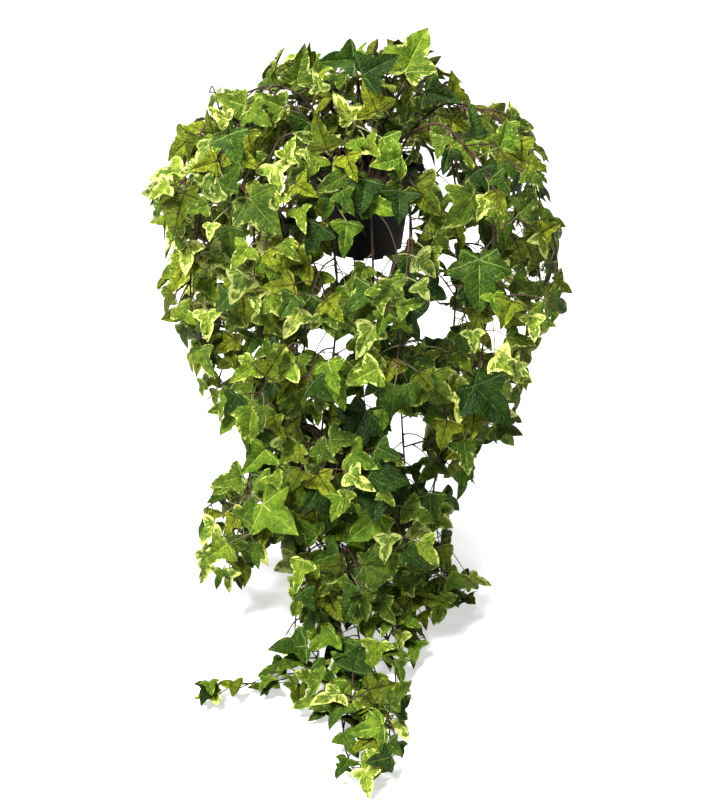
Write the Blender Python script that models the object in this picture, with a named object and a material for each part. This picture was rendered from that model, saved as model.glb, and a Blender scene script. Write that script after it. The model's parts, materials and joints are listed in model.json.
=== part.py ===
"""Potted english ivy: a black nursery pot that hangs by its rim, full of long leafy stems.

Metres, +Z up. The origin is the middle of the pot's rim, and the plant's front faces -Y.
Leafy stems stand in holes in the soil, arch over the rim and hang down. The longest reach
a level surface FLOOR below the rim and run on along it to the front.
"""
import math
import random

import bpy
from mathutils import Vector
from mathutils.bvhtree import BVHTree

# Pot, from the rim down
LIP_RADIUS = 0.0600
LIP_HEIGHT = 0.0090
RIM_WALL_RADIUS = 0.0540
BASE_RADIUS = 0.0425
POT_HEIGHT = 0.0950
WALL = 0.0016
FOOT_HEIGHT = 0.0034
FOOT_TEETH = 12
POT_SIDES = 30
POT_COLOUR = (0.010, 0.011, 0.013, 1.0)
EDGE_ROUND = 0.0006
NOTCH = (0.009, 0.0095, 0.0060)
DRAINS = 4
DRAIN_RING = 0.024
DRAIN_TURN = 0.4
DRAIN_RADIUS = 0.004
HOLE_SIDES = 12
OVERCUT = 0.002
LUG_SIZE = (0.012, 0.0050, 0.0040)
LUG_HOLE = 0.0022

# Soil and the holes that the stems stand in
SOIL_TOP = -0.0130
SOIL_DOME = 0.0050
SOIL_SIDES = 24
SOIL_COLOUR = (0.030, 0.018, 0.010, 1.0)
ROOT_DEPTH = 0.0220
ROOT_ROOM = 0.0008
ROOT_RINGS = (0.034, 0.022)
CROWN_RING = 0.009
GAP = 0.0003

# Stems and leaves
FLOOR = -0.525
STEM_RADIUS = 0.0019
TWIG_RADIUS = 0.0015
STEM_TAPER = 0.30
TWIG_FOOT = 0.3
STEM_SIDES = 3
STEM_STEP = 0.034
TWIG_STEP = 0.032
TWIG_REACH = (0.045, 0.085)
TWIG_TRIES = 14
BLADE = 0.0008
STALK_WIDTH = 0.0016
STALK_FOOT = 0.0004
STALK_REACH = (0.010, 0.026)
STALK_SHARE = 0.15
CLEAR = 0.0004
LEAF_LENGTH = 0.043
LEAF_SPREAD = (0.82, 1.22)
LEAF_PITCH = 0.112
WALK = 0.004
NEAR_FLOOR = 0.045
FLOOR_ZONE = 0.05
MIDDLE = 0.42
TRIES = 9
LARGE_TRIES = 40
SEED = 41

# Ranges of a blade's fold along its midrib, of its curl and of its width
FOLD = (-0.05, 0.34)
CURL = (-0.05, 0.30)
WIDTH = (0.88, 1.14)

# Half outlines of a blade, base to tip, for a length of 1: across, along
FIVE_LOBES = ((0.34, -0.18), (0.38, 0.02), (0.62, 0.22), (0.28, 0.42))
THREE_LOBES = ((0.52, 0.08), (0.21, 0.37))
FIVE_FROM = 0.0450

# The front view is taken from here, on the plane through the pot's axis
VIEWPOINT = Vector((0.0, -1.843, 0.725))

# Outline of the whole plant in the front view, in millimetres
OUTLINE = (
    (70, 160), (85, 120), (110, 90), (120, 65), (150, 80), (185, 50), (205, 0), (200, -35),
    (230, -75), (225, -115), (250, -150), (230, -195), (200, -215), (200, -270), (185, -290),
    (195, -355), (140, -355), (135, -410), (110, -410), (120, -460), (110, -505), (170, -555),
    (145, -585), (85, -595), (110, -640), (70, -660), (60, -735), (65, -790), (45, -885),
    (35, -930), (-45, -930), (-60, -805), (-35, -755), (-80, -775), (-135, -755), (-225, -755),
    (-220, -700), (-130, -690), (-130, -645), (-90, -615), (-95, -560), (-100, -505),
    (-120, -575), (-220, -560), (-195, -435), (-185, -400), (-150, -380), (-165, -355),
    (-185, -325), (-210, -240), (-200, -215), (-240, -185), (-240, -150), (-215, -100),
    (-245, -70), (-245, -10), (-215, -5), (-215, 45), (-170, 60), (-175, 95), (-110, 90),
    (-100, 125), (-55, 145), (-35, 110), (-15, 145), (40, 145),
)

# Places where one sees through the plant from the front: across, up, radius in millimetres
SEE_THROUGH = (
    (48, -348, 17), (80, -188, 18), (-28, -124, 11), (144, -220, 9), (94, -116, 10),
    (124, -90, 7), (22, -120, 8), (-90, 84, 7), (-56, -208, 7), (54, -68, 7), (92, -4, 7),
    (72, 6, 7), (-128, -104, 7), (-134, -68, 7), (-32, -280, 6), (-44, -152, 7),
    (-80, -528, 6), (-22, -98, 14), (6, -100, 14), (34, -88, 14), (30, -62, 10),
)

# How a leaf leans: out from the pot, and to the front on the front half of the plant
OUT_SHARE = 0.65
FRONT_LEAN = Vector((0.0, -0.75, 0.30))
BACK_LEAN = Vector((0.0, 0.0, 0.30))
SKY_LEAN = Vector((0.0, 0.0, 0.25))
FLOOR_LEAN = Vector((0.0, -0.35, 1.0))
HANG = Vector((0.0, 0.0, -0.55))
RISE = Vector((0.0, 0.0, 0.25))
FLOOR_RUN = Vector((0.0, -0.2, 0.0))
CROWN_HEIGHT = 0.06
FRONT_HALF = 0.05
JITTER = 0.55

# Each leafy stem: its route from above the soil to its end, and how many side shoots it has.
# They are listed round the pot, counter-clockwise from the right.
VINES = {
    "right_high": (3, (
        (0.080, 0.005, 0.066), (0.130, 0.010, 0.058), (0.172, 0.008, 0.020), (0.194, 0.000, -0.040),
        (0.215, -0.010, -0.100), (0.212, -0.020, -0.170))),
    "right_long": (5, (
        (0.072, 0.034, 0.058), (0.094, 0.042, 0.010), (0.106, 0.036, -0.070), (0.106, 0.016, -0.150),
        (0.100, -0.010, -0.240), (0.090, -0.035, -0.330), (0.080, -0.060, -0.410),
        (0.090, -0.085, -0.470), (0.118, -0.100, -0.505))),
    "right_back": (4, (
        (0.066, 0.064, 0.068), (0.110, 0.096, 0.034), (0.138, 0.116, -0.030), (0.150, 0.125, -0.100),
        (0.140, 0.118, -0.180), (0.130, 0.110, -0.235))),
    "back_right": (4, (
        (0.036, 0.080, 0.078), (0.056, 0.128, 0.034), (0.062, 0.140, -0.050), (0.055, 0.132, -0.130),
        (0.062, 0.120, -0.220), (0.068, 0.105, -0.290))),
    "mid_right": (4, (
        (0.020, 0.070, 0.040), (0.030, 0.088, -0.020), (0.036, 0.078, -0.110), (0.040, 0.045, -0.210),
        (0.044, 0.005, -0.300), (0.050, -0.040, -0.385), (0.056, -0.085, -0.455),
        (0.060, -0.125, -0.508), (0.072, -0.165, -0.517))),
    "back": (3, (
        (-0.008, 0.074, 0.082), (-0.012, 0.124, 0.045), (-0.014, 0.142, -0.040), (-0.010, 0.136, -0.125),
        (-0.012, 0.122, -0.210))),
    "back_left": (4, (
        (-0.036, 0.064, 0.084), (-0.066, 0.112, 0.042), (-0.078, 0.128, -0.040), (-0.074, 0.122, -0.125),
        (-0.080, 0.108, -0.215), (-0.090, 0.095, -0.290))),
    "left_back": (4, (
        (-0.060, 0.054, 0.088), (-0.110, 0.084, 0.060), (-0.140, 0.100, -0.010), (-0.150, 0.104, -0.090),
        (-0.148, 0.098, -0.165), (-0.150, 0.088, -0.230))),
    "left_back_long": (4, (
        (-0.070, 0.040, 0.066), (-0.114, 0.056, 0.020), (-0.138, 0.058, -0.060), (-0.144, 0.052, -0.150),
        (-0.155, 0.042, -0.230), (-0.172, 0.034, -0.285))),
    "left_high": (4, (
        (-0.075, 0.022, 0.078), (-0.128, 0.028, 0.072), (-0.168, 0.024, 0.042), (-0.196, 0.012, -0.002),
        (-0.216, 0.002, -0.045), (-0.222, -0.004, -0.090))),
    "left_front": (4, (
        (-0.080, 0.010, 0.068), (-0.132, -0.010, 0.048), (-0.166, -0.030, 0.000), (-0.180, -0.045, -0.060),
        (-0.190, -0.055, -0.120), (-0.188, -0.060, -0.180))),
    "left_floor": (5, (
        (-0.064, -0.012, 0.026), (-0.080, -0.016, -0.030), (-0.084, -0.018, -0.110),
        (-0.076, -0.024, -0.190), (-0.078, -0.038, -0.270), (-0.086, -0.052, -0.350),
        (-0.086, -0.066, -0.430), (-0.078, -0.090, -0.500), (-0.062, -0.135, -0.518),
        (-0.052, -0.190, -0.520), (-0.078, -0.228, -0.520), (-0.120, -0.244, -0.517),
        (-0.168, -0.252, -0.512))),
    "left_long": (6, (
        (-0.074, -0.030, 0.052), (-0.110, -0.058, 0.002), (-0.118, -0.074, -0.080),
        (-0.112, -0.084, -0.160), (-0.116, -0.090, -0.235), (-0.126, -0.094, -0.310),
        (-0.138, -0.098, -0.385), (-0.156, -0.102, -0.450))),
    "front_mid_left": (4, (
        (-0.046, -0.054, 0.022), (-0.060, -0.074, -0.032), (-0.062, -0.084, -0.110),
        (-0.066, -0.092, -0.190), (-0.076, -0.098, -0.265), (-0.074, -0.108, -0.335),
        (-0.064, -0.118, -0.400), (-0.056, -0.132, -0.465))),
    "front_left": (6, (
        (-0.030, -0.062, 0.024), (-0.034, -0.082, -0.030), (-0.028, -0.092, -0.110),
        (-0.034, -0.104, -0.190), (-0.046, -0.114, -0.270), (-0.038, -0.124, -0.360),
        (-0.020, -0.136, -0.445), (-0.006, -0.164, -0.508), (-0.002, -0.215, -0.519),
        (-0.014, -0.275, -0.520), (-0.022, -0.330, -0.520), (-0.012, -0.385, -0.518))),
    "front": (6, (
        (0.006, -0.064, 0.016), (0.009, -0.080, -0.040), (0.010, -0.088, -0.120),
        (0.004, -0.098, -0.190), (-0.008, -0.110, -0.270), (0.004, -0.124, -0.350),
        (0.016, -0.140, -0.435), (0.026, -0.166, -0.506), (0.036, -0.220, -0.519),
        (0.030, -0.280, -0.520), (0.020, -0.335, -0.519), (0.026, -0.372, -0.512))),
    "front_right": (2, (
        (0.038, -0.060, 0.026), (0.050, -0.084, -0.030), (0.050, -0.096, -0.100),
        (0.042, -0.100, -0.170), (0.036, -0.104, -0.235))),
    "right_front": (4, (
        (0.076, -0.036, 0.062), (0.118, -0.062, 0.026), (0.138, -0.078, -0.040),
        (0.136, -0.088, -0.110), (0.130, -0.092, -0.180), (0.134, -0.094, -0.240),
        (0.128, -0.094, -0.295))),
    "crown_right": (2, ((0.024, 0.004, 0.050), (0.044, 0.008, 0.088))),
    "crown_mid": (2, ((-0.002, 0.014, 0.060), (-0.006, 0.016, 0.092))),
    "crown_left": (2, ((-0.032, 0.012, 0.058), (-0.058, 0.016, 0.092))),
    "crown_front": (2, ((-0.004, -0.026, 0.036), (-0.006, -0.046, 0.062))),
}
CROWN = ("crown_right", "crown_mid", "crown_left", "crown_front")

# Large leaves: the stem that bears each, its middle in the front view in millimetres,
# its length in millimetres and where its tip points, in degrees clockwise from up
LARGE_LEAVES = (
    ("crown_right", 54, 128, 56, 25), ("crown_mid", 4, 120, 54, 70), ("crown_mid", 2, 96, 50, 45),
    ("crown_left", -70, 116, 46, 20), ("crown_left", -48, 80, 32, 0), ("left_high", -140, 78, 42, 280),
    ("left_high", -102, 70, 40, 290), ("left_high", -108, 48, 44, 200), ("left_high", -76, 38, 48, 205),
    ("crown_front", 24, 44, 46, 170), ("crown_front", 28, 16, 40, 150),
    ("left_high", -196, 24, 40, 230), ("left_high", -220, -24, 36, 275),
    ("left_front", -148, -52, 46, 200), ("left_front", -208, -128, 44, 215),
    ("left_front", -204, -186, 42, 268), ("left_long", -136, -168, 50, 180),
    ("left_floor", -84, -192, 56, 180), ("front_mid_left", -66, -120, 56, 165),
    ("front_left", -28, -176, 56, 195), ("front", 4, -214, 46, 200),
    ("left_back_long", -172, -276, 58, 315), ("left_long", -134, -320, 50, 190),
    ("front_mid_left", -86, -272, 44, 170), ("front_left", -52, -272, 44, 150),
    ("front_left", -16, -74, 48, 172), ("front", 2, -36, 40, 190), ("front_right", 40, -28, 42, 150),
    ("front_right", 70, -40, 46, 140), ("right_long", 84, -88, 46, 190),
    ("front_right", 50, -130, 42, 190), ("right_front", 116, 18, 44, 190),
    ("right_front", 132, -32, 56, 100), ("right_high", 176, 12, 50, 160),
    ("right_front", 128, -138, 62, 180), ("right_front", 122, -192, 44, 190),
    ("front_right", 40, -272, 64, 200), ("right_long", 94, -250, 52, 150),
    ("right_front", 150, -300, 66, 140), ("right_long", 108, -306, 42, 180),
    ("right_front", 168, -246, 42, 120), ("right_long", 92, -368, 42, 200),
    ("right_front", 122, -368, 40, 170), ("front", -6, -336, 62, 200),
    ("left_floor", -88, -424, 54, 170), ("left_long", -162, -402, 40, 262),
    ("left_long", -172, -496, 38, 262), ("left_long", -148, -532, 36, 180),
    ("left_long", -190, -530, 30, 200), ("front_left", -40, -444, 54, 200), ("front", 2, -548, 50, 190),
    ("mid_right", 48, -576, 60, 160), ("right_long", 92, -452, 50, 170),
    ("right_long", 82, -516, 42, 180), ("right_long", 144, -548, 28, 100),
    ("right_long", 118, -568, 28, 130), ("mid_right", 84, -634, 40, 95),
    ("left_floor", -92, -650, 46, 255), ("left_floor", -42, -638, 48, 200),
    ("mid_right", 48, -688, 42, 110), ("left_floor", -200, -726, 30, 262),
    ("left_floor", -174, -714, 28, 300), ("left_floor", -138, -712, 30, 300),
    ("left_floor", -104, -740, 40, 200), ("front_left", -18, -796, 46, 190),
    ("front", 28, -788, 42, 115), ("front_left", -8, -865, 42, 200), ("front_left", -24, -720, 42, 185),
    ("front", 12, -654, 48, 195),
)

LEAF_COLOURS = ((0.090, 0.200, 0.035, 1.0), (0.130, 0.260, 0.050, 1.0), (0.060, 0.140, 0.040, 1.0))


def clear_scene():
    """Start from an empty scene."""
    for thing in list(bpy.data.objects):
        bpy.data.objects.remove(thing, do_unlink=True)


def finish_of(name, colour, roughness):
    """A plain Principled material."""
    material = bpy.data.materials.new(name)
    material.use_nodes = True
    shader = material.node_tree.nodes["Principled BSDF"]
    shader.inputs["Base Color"].default_value = colour
    shader.inputs["Roughness"].default_value = roughness
    return material


def add_object(name, points, faces, material=None):
    """A mesh object from points and faces."""
    mesh = bpy.data.meshes.new(name)
    mesh.from_pydata([tuple(point) for point in points], [], faces)
    mesh.update()
    thing = bpy.data.objects.new(name, mesh)
    bpy.context.scene.collection.objects.link(thing)
    if material is not None:
        mesh.materials.append(material)
    return thing


def turned(profile, sides):
    """Points and faces of a closed ring of profile points (radius, height) turned round Z."""
    points = []
    for step in range(sides):
        angle = 2.0 * math.pi * step / sides
        for radius, height in profile:
            points.append((radius * math.cos(angle), radius * math.sin(angle), height))
    count = len(profile)
    faces = []
    for step in range(sides):
        ring, after = step * count, ((step + 1) % sides) * count
        for i in range(count):
            j = (i + 1) % count
            faces.append((ring + i, ring + j, after + j, after + i))
    return points, faces


def tube(centres, radii, sides):
    """Points and faces of a closed tube round a line of centres, with flat ends."""
    points = []
    side = None
    for i, centre in enumerate(centres):
        ahead = centres[min(i + 1, len(centres) - 1)]
        behind = centres[max(i - 1, 0)]
        along = (ahead - behind).normalized()
        if side is None:
            side = along.orthogonal()
        side = (side - along * side.dot(along)).normalized()
        up = along.cross(side)
        for step in range(sides):
            angle = 2.0 * math.pi * step / sides
            points.append(centre + (side * math.cos(angle) + up * math.sin(angle)) * radii[i])
    faces = [tuple(reversed(range(sides)))]
    for i in range(len(centres) - 1):
        for step in range(sides):
            a, b = i * sides + step, i * sides + (step + 1) % sides
            faces.append((a, b, b + sides, a + sides))
    last = (len(centres) - 1) * sides
    faces.append(tuple(range(last, last + sides)))
    return points, faces


def cylinder(radius, bottom, top, at, sides):
    """Points and faces of an upright closed cylinder."""
    low, high = Vector((at[0], at[1], bottom)), Vector((at[0], at[1], top))
    return tube([low, high], [radius, radius], sides)


def cut(target, cutters):
    """Take the cutters out of the target, and remove them."""
    join(target, cutters, "DIFFERENCE", "EXACT")


def join(target, others, operation="UNION", solver="EXACT"):
    """Apply one Boolean of a whole collection to the target, and remove the collection."""
    group = bpy.data.collections.new("joined")
    bpy.context.scene.collection.children.link(group)
    for other in others:
        bpy.context.scene.collection.objects.unlink(other)
        group.objects.link(other)
    boolean = target.modifiers.new("join", "BOOLEAN")
    boolean.operation = operation
    boolean.operand_type = "COLLECTION"
    boolean.collection = group
    boolean.solver = solver
    graph = bpy.context.evaluated_depsgraph_get()
    whole = bpy.data.meshes.new_from_object(target.evaluated_get(graph))
    target.modifiers.clear()
    target.data = whole
    for other in list(group.objects):
        bpy.data.objects.remove(other, do_unlink=True)
    bpy.data.collections.remove(group)


def build_pot():
    """Thin black pot: turned wall, rolled lip, toothed foot, drain holes and two rim lugs."""
    slope = (RIM_WALL_RADIUS - BASE_RADIUS) / (POT_HEIGHT - LIP_HEIGHT)
    foot_top = FOOT_HEIGHT - POT_HEIGHT
    inner_floor = foot_top + WALL
    profile = (
        (DRAIN_RADIUS, foot_top), (DRAIN_RADIUS, inner_floor),
        (BASE_RADIUS - WALL + slope * FOOT_HEIGHT, inner_floor),
        (RIM_WALL_RADIUS - WALL, -LIP_HEIGHT),
        (LIP_RADIUS - 2.2 * WALL, -0.002), (LIP_RADIUS - 1.6 * WALL, 0.0),
        (LIP_RADIUS - EDGE_ROUND, 0.0), (LIP_RADIUS, -0.5 * WALL),
        (LIP_RADIUS - EDGE_ROUND, -LIP_HEIGHT), (RIM_WALL_RADIUS, -LIP_HEIGHT - 0.25 * WALL),
        (BASE_RADIUS + slope * FOOT_HEIGHT, foot_top), (BASE_RADIUS, -POT_HEIGHT),
        (BASE_RADIUS - 1.4 * WALL, -POT_HEIGHT), (BASE_RADIUS - 1.4 * WALL, foot_top),
    )
    points, faces = turned(profile, POT_SIDES)
    pot = add_object("pot", points, faces, finish_of("black_plastic", POT_COLOUR, 0.45))
    pot.data.flip_normals()
    cutters = []
    for tooth in range(FOOT_TEETH):
        angle = 2.0 * math.pi * (tooth + 0.25) / FOOT_TEETH
        middle = BASE_RADIUS - 0.5 * WALL
        cutters.append(add_box((middle, 0.0, -POT_HEIGHT), NOTCH, angle))
    for hole in range(DRAINS):
        angle = 2.0 * math.pi * hole / DRAINS + DRAIN_TURN
        at = (DRAIN_RING * math.cos(angle), DRAIN_RING * math.sin(angle))
        points, faces = cylinder(DRAIN_RADIUS, foot_top - OVERCUT, inner_floor + OVERCUT, at, HOLE_SIDES)
        cutters.append(add_object("drain", points, faces))
    cut(pot, cutters)
    lugs = []
    for turn in (0.0, math.pi):
        lug = add_box((LIP_RADIUS + 0.4 * LUG_SIZE[1], 0.0, -0.5 * LUG_SIZE[2] - EDGE_ROUND),
                      (LUG_SIZE[1] * 1.6, LUG_SIZE[0], LUG_SIZE[2]), turn)
        at = (math.cos(turn) * (LIP_RADIUS + 0.45 * LUG_SIZE[1]), 0.0)
        points, faces = cylinder(0.5 * LUG_HOLE, -LIP_HEIGHT, LIP_HEIGHT, at, HOLE_SIDES)
        cut(lug, [add_object("hook_hole", points, faces)])
        lugs.append(lug)
    join(pot, lugs)
    pot.data.shade_smooth()
    pot.data.set_sharp_from_angle(angle=math.radians(35.0))
    return pot


def add_box(centre, size, turn):
    """A box with its middle at centre, then turned round the Z axis."""
    points = []
    for x in (-0.5, 0.5):
        for y in (-0.5, 0.5):
            for z in (-0.5, 0.5):
                px, py = centre[0] + x * size[0], centre[1] + y * size[1]
                points.append((px * math.cos(turn) - py * math.sin(turn),
                               px * math.sin(turn) + py * math.cos(turn), centre[2] + z * size[2]))
    faces = [(0, 1, 3, 2), (4, 6, 7, 5), (0, 4, 5, 1), (2, 3, 7, 6), (0, 2, 6, 4), (1, 5, 7, 3)]
    return add_object("box", points, faces)


def build_soil(roots):
    """Domed fill of the pot, with a plain hole for each stem."""
    slope = (RIM_WALL_RADIUS - BASE_RADIUS) / (POT_HEIGHT - LIP_HEIGHT)
    bottom = FOOT_HEIGHT - POT_HEIGHT + WALL + GAP
    wall_gap = WALL + 2.0 * GAP
    low = BASE_RADIUS - wall_gap + slope * (bottom + POT_HEIGHT)
    high = BASE_RADIUS - wall_gap + slope * (SOIL_TOP + POT_HEIGHT)
    rings = [(low, bottom), (high, SOIL_TOP), (0.62 * high, SOIL_TOP + 0.7 * SOIL_DOME),
             (0.25 * high, SOIL_TOP + SOIL_DOME)]
    centres = [Vector((0.0, 0.0, height)) for radius, height in rings]
    points, faces = tube(centres, [radius for radius, height in rings], SOIL_SIDES)
    soil = add_object("soil", points, faces, finish_of("soil_fill", SOIL_COLOUR, 0.95))
    holes = []
    for x, y in roots:
        bottom = SOIL_TOP - ROOT_DEPTH - ROOT_ROOM
        hole = cylinder(STEM_RADIUS + ROOT_ROOM, bottom, ROOT_DEPTH, (x, y), 2 * STEM_SIDES)
        holes.append(add_object("hole", *hole))
    cut(soil, holes)
    return soil


def root_places():
    """Where each stem stands in the soil, in the order of the stems."""
    places = {}
    around = [name for name in VINES if name not in CROWN]
    for i, name in enumerate(around):
        angle = 2.0 * math.pi * i / len(around)
        radius = ROOT_RINGS[i % 2]
        places[name] = (radius * math.cos(angle), radius * math.sin(angle))
    for i, name in enumerate(CROWN):
        angle = 2.0 * math.pi * i / len(CROWN)
        places[name] = (CROWN_RING * math.cos(angle), CROWN_RING * math.sin(angle))
    return places


def smooth_line(points, step):
    """Points a given step apart on a smooth curve through the given ones."""
    fine = []
    for i in range(len(points) - 1):
        p0, p1 = points[max(i - 1, 0)], points[i]
        p2, p3 = points[i + 1], points[min(i + 2, len(points) - 1)]
        for k in range(12):
            t = k / 12.0
            fine.append(0.5 * (2.0 * p1 + (p2 - p0) * t + (2.0 * p0 - 5.0 * p1 + 4.0 * p2 - p3) * t * t
                               + (3.0 * p1 - p0 - 3.0 * p2 + p3) * t * t * t))
    fine.append(points[-1].copy())
    length = sum((b - a).length for a, b in zip(fine, fine[1:]))
    count = max(2, round(length / step))
    line = [fine[0]]
    walked, target = 0.0, length / count
    for a, b in zip(fine, fine[1:]):
        piece = (b - a).length
        while walked + piece >= target and len(line) < count:
            line.append(a.lerp(b, (target - walked) / piece))
            target += length / count
        walked += piece
    line.append(fine[-1])
    return line


def walk(line, step):
    """Points a given step apart along the straight pieces of a line."""
    spots = []
    left = 0.0
    for a, b in zip(line, line[1:]):
        piece = (b - a).length
        while left < piece:
            spots.append(a.lerp(b, left / piece))
            left += step
        left -= piece
    return spots


def front_place(point):
    """Where a point shows on the front view's plane, as (across, up)."""
    share = -VIEWPOINT.y / (point.y - VIEWPOINT.y)
    return point.x * share, VIEWPOINT.z + (point.z - VIEWPOINT.z) * share


def behind_front(across, up, depth):
    """The point at a given depth that shows at (across, up) in the front view."""
    share = (depth - VIEWPOINT.y) / -VIEWPOINT.y
    return Vector((across * share, depth, VIEWPOINT.z + (up - VIEWPOINT.z) * share))


def inside_outline(across, up):
    """True where a place in the front view lies inside the plant's outline."""
    inside = False
    x, z = across * 1000.0, up * 1000.0
    for (x1, z1), (x2, z2) in zip(OUTLINE, OUTLINE[1:] + OUTLINE[:1]):
        if (z1 > z) != (z2 > z) and x < x1 + (z - z1) / (z2 - z1) * (x2 - x1):
            inside = not inside
    return inside


def place_is_free(point, see_through=True):
    """True where a point is above the surface, outside the pot and inside the plant's look."""
    if point.z < FLOOR + 0.0015:
        return False
    if math.hypot(point.x, point.y) < LIP_RADIUS + 0.004 and -POT_HEIGHT - 0.002 < point.z < 0.003:
        return False
    across, up = front_place(point)
    if not inside_outline(across, up):
        return False
    if see_through:
        for x, z, radius in SEE_THROUGH:
            if math.hypot(across * 1000.0 - x, up * 1000.0 - z) < radius:
                return False
    return True


class Leaf:
    """One blade with its stalk: where it grows, how it faces and its outline."""

    def __init__(self, vine, root, base, tip, face, length, draw):
        self.vine, self.root, self.base, self.length = vine, root, base, length
        self.tip = tip
        self.face = (face - tip * face.dot(tip)).normalized()
        self.side = tip.cross(self.face)
        self.five = length >= FIVE_FROM
        self.fold = draw.uniform(*FOLD)
        self.curl = draw.uniform(*CURL)
        self.wide = draw.uniform(*WIDTH)
        self.middle = base + tip * (MIDDLE * length)

    def half(self):
        """Half of the outline, base to tip, without the tip."""
        lobes = FIVE_LOBES if self.five else THREE_LOBES
        return [(0.5 * STALK_WIDTH / self.length, 0.0)] + [(x * self.wide, y) for x, y in lobes]

    def at(self, x, y, lift):
        """A point of the blade, from its place across and along it."""
        height = self.fold * abs(x) - self.curl * y * abs(y)
        return (self.base + self.side * (x * self.length) + self.tip * (y * self.length)
                + self.face * (height * self.length + lift))

    def blade(self, grow=0.0):
        """Points and faces of the blade, thickened and widened by grow, and its base corners."""
        swell = 1.0 + 2.5 * grow / self.length
        half = self.half()
        right = [(x * swell, (y - 0.3) * swell + 0.3 if y else 0.0) for x, y in half]
        ring = right + [(0.0, 0.7 * swell + 0.3)] + [(-x, y) for x, y in reversed(right)]
        last, middle = len(ring) - 1, len(right)
        lift = 0.5 * BLADE + grow
        under = last + 1
        points = [self.at(x, y, lift) for x, y in ring]
        points += [self.at(0.0, 0.0, -lift)] + [self.at(x, y, -lift) for x, y in ring[1:-1]]
        below = [under] + [under + i for i in range(1, last)] + [under]
        halves = [(0, i, i + 1) for i in range(1, middle)]
        halves += [(last, i, i + 1) for i in range(middle, last - 1)]
        faces = halves + [(0, middle, last)] + [(below[a], below[c], below[b]) for a, b, c in halves]
        for i in range(last):
            faces.append((i, below[i], below[i + 1], i + 1))
        return points, faces, (0, last, under)

    def solid(self):
        """Points and faces of the blade with its stalk as one closed body."""
        points, faces, base = self.blade()
        along = (self.base - self.root).normalized()
        across = (self.side - along * self.side.dot(along)).normalized() * STALK_FOOT
        up = across.cross(along).normalized() * STALK_FOOT
        if up.dot(self.face) < 0.0:
            up = -up
        start = len(points)
        points += [self.root + across + up * 0.6, self.root - across + up * 0.6, self.root - up]
        for i in range(3):
            j = (i + 1) % 3
            faces.append((base[i], base[j], start + j, start + i))
        faces.append((start, start + 1, start + 2))
        return points, faces


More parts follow.
